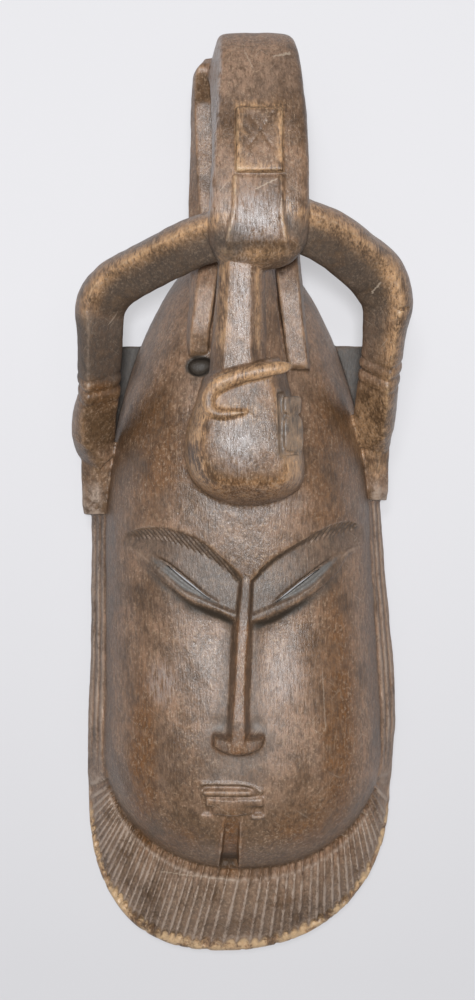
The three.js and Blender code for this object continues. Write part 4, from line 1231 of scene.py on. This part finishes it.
def scratch(start, end, width):
    """1 along one scratch between two places over the mask's face, in millimetres, and 0 beside it."""
    start, end = (np.array(point) + FACE_PLACE[:2] for point in (start, end))
    middle, run = (start + end) / 2 * MM, (end - start) * MM
    size = (np.hypot(*run) / 2, width / 2 * MM, 1)
    turn = (0, 0, np.arctan2(run[1], run[0]))
    inputs = {"Vector": place, "Location": (*middle, 0), "Rotation": turn, "Scale": size}
    turned = add("ShaderNodeMapping", inputs, vector_type="TEXTURE").outputs["Vector"]
    along, across = add("ShaderNodeSeparateXYZ", {"Vector": turned}).outputs[:2]
    wander = plus(times(plus(speckle, -0.5), 5.0), across)
    off = [add("ShaderNodeMath", {0: value}, operation="ABSOLUTE").outputs[0] for value in (along, wander)]
    return times(within(off[0], 1.0, 0.8), within(off[1], 1.2, 0.3))


edge, form, rub, beard, gold_wear_and_light_share, dirt_and_shade_share, gloss_and_highlight_share, dusted, painted_shadow_share = (worn_by(name) for name in wear)
DARK_STAIN, WORN_STAIN = (0.085, 0.046, 0.024, 1), (0.2, 0.113, 0.066, 1)
DUST_AND_SHEEN, RUBBED_BROWN, SHADED_BROWN = (0.24, 0.162, 0.12, 1), (0.125, 0.05, 0.012, 1), (0.088, 0.049, 0.023, 1)
DUST, DIRT_AND_SHADE, GRIME_AND_SHADE = (0.13, 0.115, 0.1, 1), (0.028, 0.019, 0.012, 1), (0.045, 0.041, 0.037, 1)
BARE_WOOD, POLISHED_WOOD, FLECK = (0.5, 0.34, 0.195, 1), (0.29, 0.162, 0.082, 1), (0.32, 0.215, 0.14, 1)
GOLDEN_WOOD, PALE_EDGE, BEARD_RIDGE = (0.4, 0.232, 0.118, 1), (0.3, 0.215, 0.16, 1), (0.36, 0.27, 0.21, 1)
PALE_SCRATCH, PAINTED_HIGHLIGHT, LENS_DUST = (0.42, 0.33, 0.25, 1), (0.34, 0.3, 0.29, 1), (0.125, 0.121, 0.115, 1)

clouds = noise(14, detail=5.0)
patches = noise(55, detail=6.0, roughness=0.65)
mottle = noise(340, (1, 0.6, 1), detail=6.0, roughness=0.75)
speckle = noise(640, detail=3.0, roughness=0.7)
grain = noise(1, (1050, 150, 700), detail=4.0, roughness=0.65)
fibres = noise(1, (2600, 420, 1600), detail=2.0)
colour = blend(DARK_STAIN, WORN_STAIN, within(plus(clouds, times(patches, 0.7)), 0.66, 1.02))
upward = within(faces["Z"], 0.55, 0.98)
# Surfaces that face up are laid over with a pale grey-tan: dust and painted sheen.
colour = blend(colour, DUST_AND_SHEEN, times(upward, within(noise(20, detail=4.0), 0.4, 0.66, 0.45)))
# Surfaces that face the chin are darkened: painted shade.
colour = blend(colour, SHADED_BROWN, within(faces["Y"], -0.12, -0.6, 0.7))
colour = blend(colour, RUBBED_BROWN, times(rub, within(patches, 0.3, 0.55, 0.95)))
colour = blend(colour, POLISHED_WOOD, times(within(form, 0.1, 0.6), within(patches, 0.38, 0.56, 0.85)))
figure = plus(times(patches, 0.8), times(grain, 0.7))
colour = blend(colour, GOLDEN_WOOD, times(gold_wear_and_light_share, within(figure, 0.6, 0.86, 0.95)))
colour = shaded(colour, plus(within(mottle, 0.32, 0.68, 0.8), 0.64))
colour = blend(colour, FLECK, times(within(speckle, 0.53, 0.64, 0.75), within(patches, 0.33, 0.6)))
colour = blend(colour, FLECK, within(grain, 0.55, 0.7, 0.48))
colour = blend(colour, DARK_STAIN, within(grain, 0.47, 0.33, 0.7))
# Dirt and painted shade in the sheltered places.
colour = blend(colour, GRIME_AND_SHADE, times(dirt_and_shade_share, within(patches, 0.2, 0.5, 0.9)))
colour = blend(colour, DUST, times(within(edge, -0.08, -0.45, 0.7), within(clouds, 0.3, 0.55)))
# The grooves are darkened: dirt and painted shade.
colour = blend(colour, DIRT_AND_SHADE, within(edge, -0.35, -0.95, 0.9))
ridge = times(beard, within(edge, -0.07, 0.17, 0.95))
colour = blend(colour, BEARD_RIDGE, times(ridge, within(plus(patches, times(speckle, 0.6)), 0.6, 0.85)))
bare = within(plus(noise(110, detail=5.0), times(speckle, 0.5)), 0.62, 0.84, 0.9)
worn_edge = blend(PALE_EDGE, BARE_WOOD, within(gold_wear_and_light_share, 0.1, 0.6))
colour = blend(colour, worn_edge, times(times(within(edge, 0.12, 0.6), within(beard, 1.0, 0.0)), bare))
# The cool painted highlight on the glossed places.
colour = blend(colour, PAINTED_HIGHLIGHT, times(gloss_and_highlight_share, within(grain, 0.4, 0.58, 0.62)))
colour = blend(colour, LENS_DUST, times(dusted, within(patches, 0.25, 0.45, 0.8)))
# The near-black painted shadow.
colour = blend(colour, DIRT_AND_SHADE, within(painted_shadow_share, 0.1, 0.9, 0.92))

# Fine scratches lie all over in two directions, given as turn and length, and fade out in patches.
STROKES, STROKE_WIDTH = [(0.9, 0.016), (-0.6, 0.022)], 0.0007
strokes = plus(*[within(streaks(turn, length, STROKE_WIDTH), 0.68, 0.74) for turn, length in STROKES])
colour = blend(colour, PALE_SCRATCH, times(strokes, within(clouds, 0.45, 0.6, 0.4)))

# The few scratches that stand out, each from end to end, with its width and strength.
SCRATCHES = [
    ((14.5, 221), (24, 223.5), 1.6, 0.6),
    ((5, 151.5), (17, 157.5), 0.7, 0.6),
    ((66, 106.5), (71, 112), 1.1, 0.6),
    ((43.5, -123), (41.5, -88), 0.7, 0.35),
    ((-47, -203), (-2.6, -207.5), 0.9, 0.55),
    ((0, 226), (5, 214), 0.6, 0.4),
]
for start, end, width, strength in SCRATCHES:
    colour = blend(colour, PALE_SCRATCH, times(scratch(start, end, width), strength))
tree.links.new(colour, shader.inputs["Base Color"])

# The wax is dull in the grooves, in the dirt and painted shade and on the beard, and shines most where cloth
# polished it. The grain and the flecks stand out as a fine relief.
dull = plus(times(within(edge, 0.0, -0.6), 0.25), plus(times(dirt_and_shade_share, 0.25), times(beard, 0.15)))
uneven = plus(within(clouds, 0.35, 0.65, 0.1), within(fibres, 0.4, 0.6, 0.12))
roughness = plus(plus(uneven, dull), plus(times(gloss_and_highlight_share, -0.08), 0.29))
tree.links.new(roughness, shader.inputs["Roughness"])
shader.inputs["Specular IOR Level"].default_value = 0.55
height = plus(plus(times(grain, 0.7), times(mottle, 0.5)), plus(times(fibres, 0.4), times(speckle, 0.35)))
bump = add("ShaderNodeBump", {"Height": height, "Strength": 0.65, "Distance": 0.0006}).outputs["Normal"]
tree.links.new(bump, shader.inputs["Normal"])

block.data.materials.clear()
block.data.materials.append(wood)
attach(block, "root")
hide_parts("mask")


# The table and the light
# A pale table that is lit through from below, a small lamp and a wide, weak one overhead, a third beyond the
# crest, and an even room.
TABLE_HALF, TABLE_DROP = 3.0, 0.0005
TABLE_LOOK = {
    "Base Color": (0.27, 0.26, 0.265, 1), "Roughness": 0.8, "Emission Color": (0.97, 0.97, 1.0, 1),
}
TABLE_GLOW = {"From Min": -0.26, "From Max": 0.12, "To Min": 0.33, "To Max": 0.46}
LOOKED_AT = Vector((0, 0, 0.06))

table_mesh = bpy.data.meshes.new("table")
table_corners = [(TABLE_HALF * x, TABLE_HALF * y, 0) for x, y in [(-1, -1), (1, -1), (1, 1), (-1, 1)]]
table_mesh.from_pydata(table_corners, [], [(0, 1, 2, 3)])
table = bpy.data.objects.new("table", table_mesh)
bpy.context.scene.collection.objects.link(table)
table.location.z = -TABLE_DROP
paint = bpy.data.materials.new("table")
paint.use_nodes = True
nodes, links = paint.node_tree.nodes, paint.node_tree.links
paint_shader = nodes["Principled BSDF"]
for key, value in TABLE_LOOK.items():
    paint_shader.inputs[key].default_value = value

# The glow is weaker towards the chin.
coordinates = nodes.new("ShaderNodeTexCoord")
parts = nodes.new("ShaderNodeSeparateXYZ")
glow = nodes.new("ShaderNodeMapRange")
for key, value in TABLE_GLOW.items():
    glow.inputs[key].default_value = value
links.new(coordinates.outputs["Object"], parts.inputs[0])
links.new(parts.outputs["Y"], glow.inputs["Value"])
links.new(glow.outputs[0], paint_shader.inputs["Emission Strength"])
table_mesh.materials.append(paint)


def lamp(name, place, size, power, colour):
    """A flat rectangular lamp that looks at the mask's middle."""
    light = bpy.data.lights.new(name, "AREA")
    light.shape = "RECTANGLE"
    light.size, light.size_y = size
    light.energy = power
    light.color = colour
    made = bpy.data.objects.new(name, light)
    made.location = place
    made.rotation_mode = "QUATERNION"
    made.rotation_quaternion = (LOOKED_AT - Vector(place)).to_track_quat("-Z", "Y")
    bpy.context.scene.collection.objects.link(made)


lamp("window", (-0.01, 0.03, 2.2), (0.22, 0.22), 46, (0.93, 0.97, 1.0))
lamp("overhead_lamp", (0.0, 0.1, 2.2), (1.4, 1.0), 6, (1.0, 0.97, 0.94))
lamp("crest_lamp", (-0.15, 0.6, 2.0), (0.3, 0.3), 11, (0.93, 0.97, 1.0))
room = bpy.data.worlds.new("room")
room.use_nodes = True
room.node_tree.nodes["Background"].inputs["Color"].default_value = (1.0, 0.96, 0.93, 1)
room.node_tree.nodes["Background"].inputs["Strength"].default_value = 0.12
bpy.context.scene.world = room
bpy.context.scene.view_settings.view_transform = "Standard"
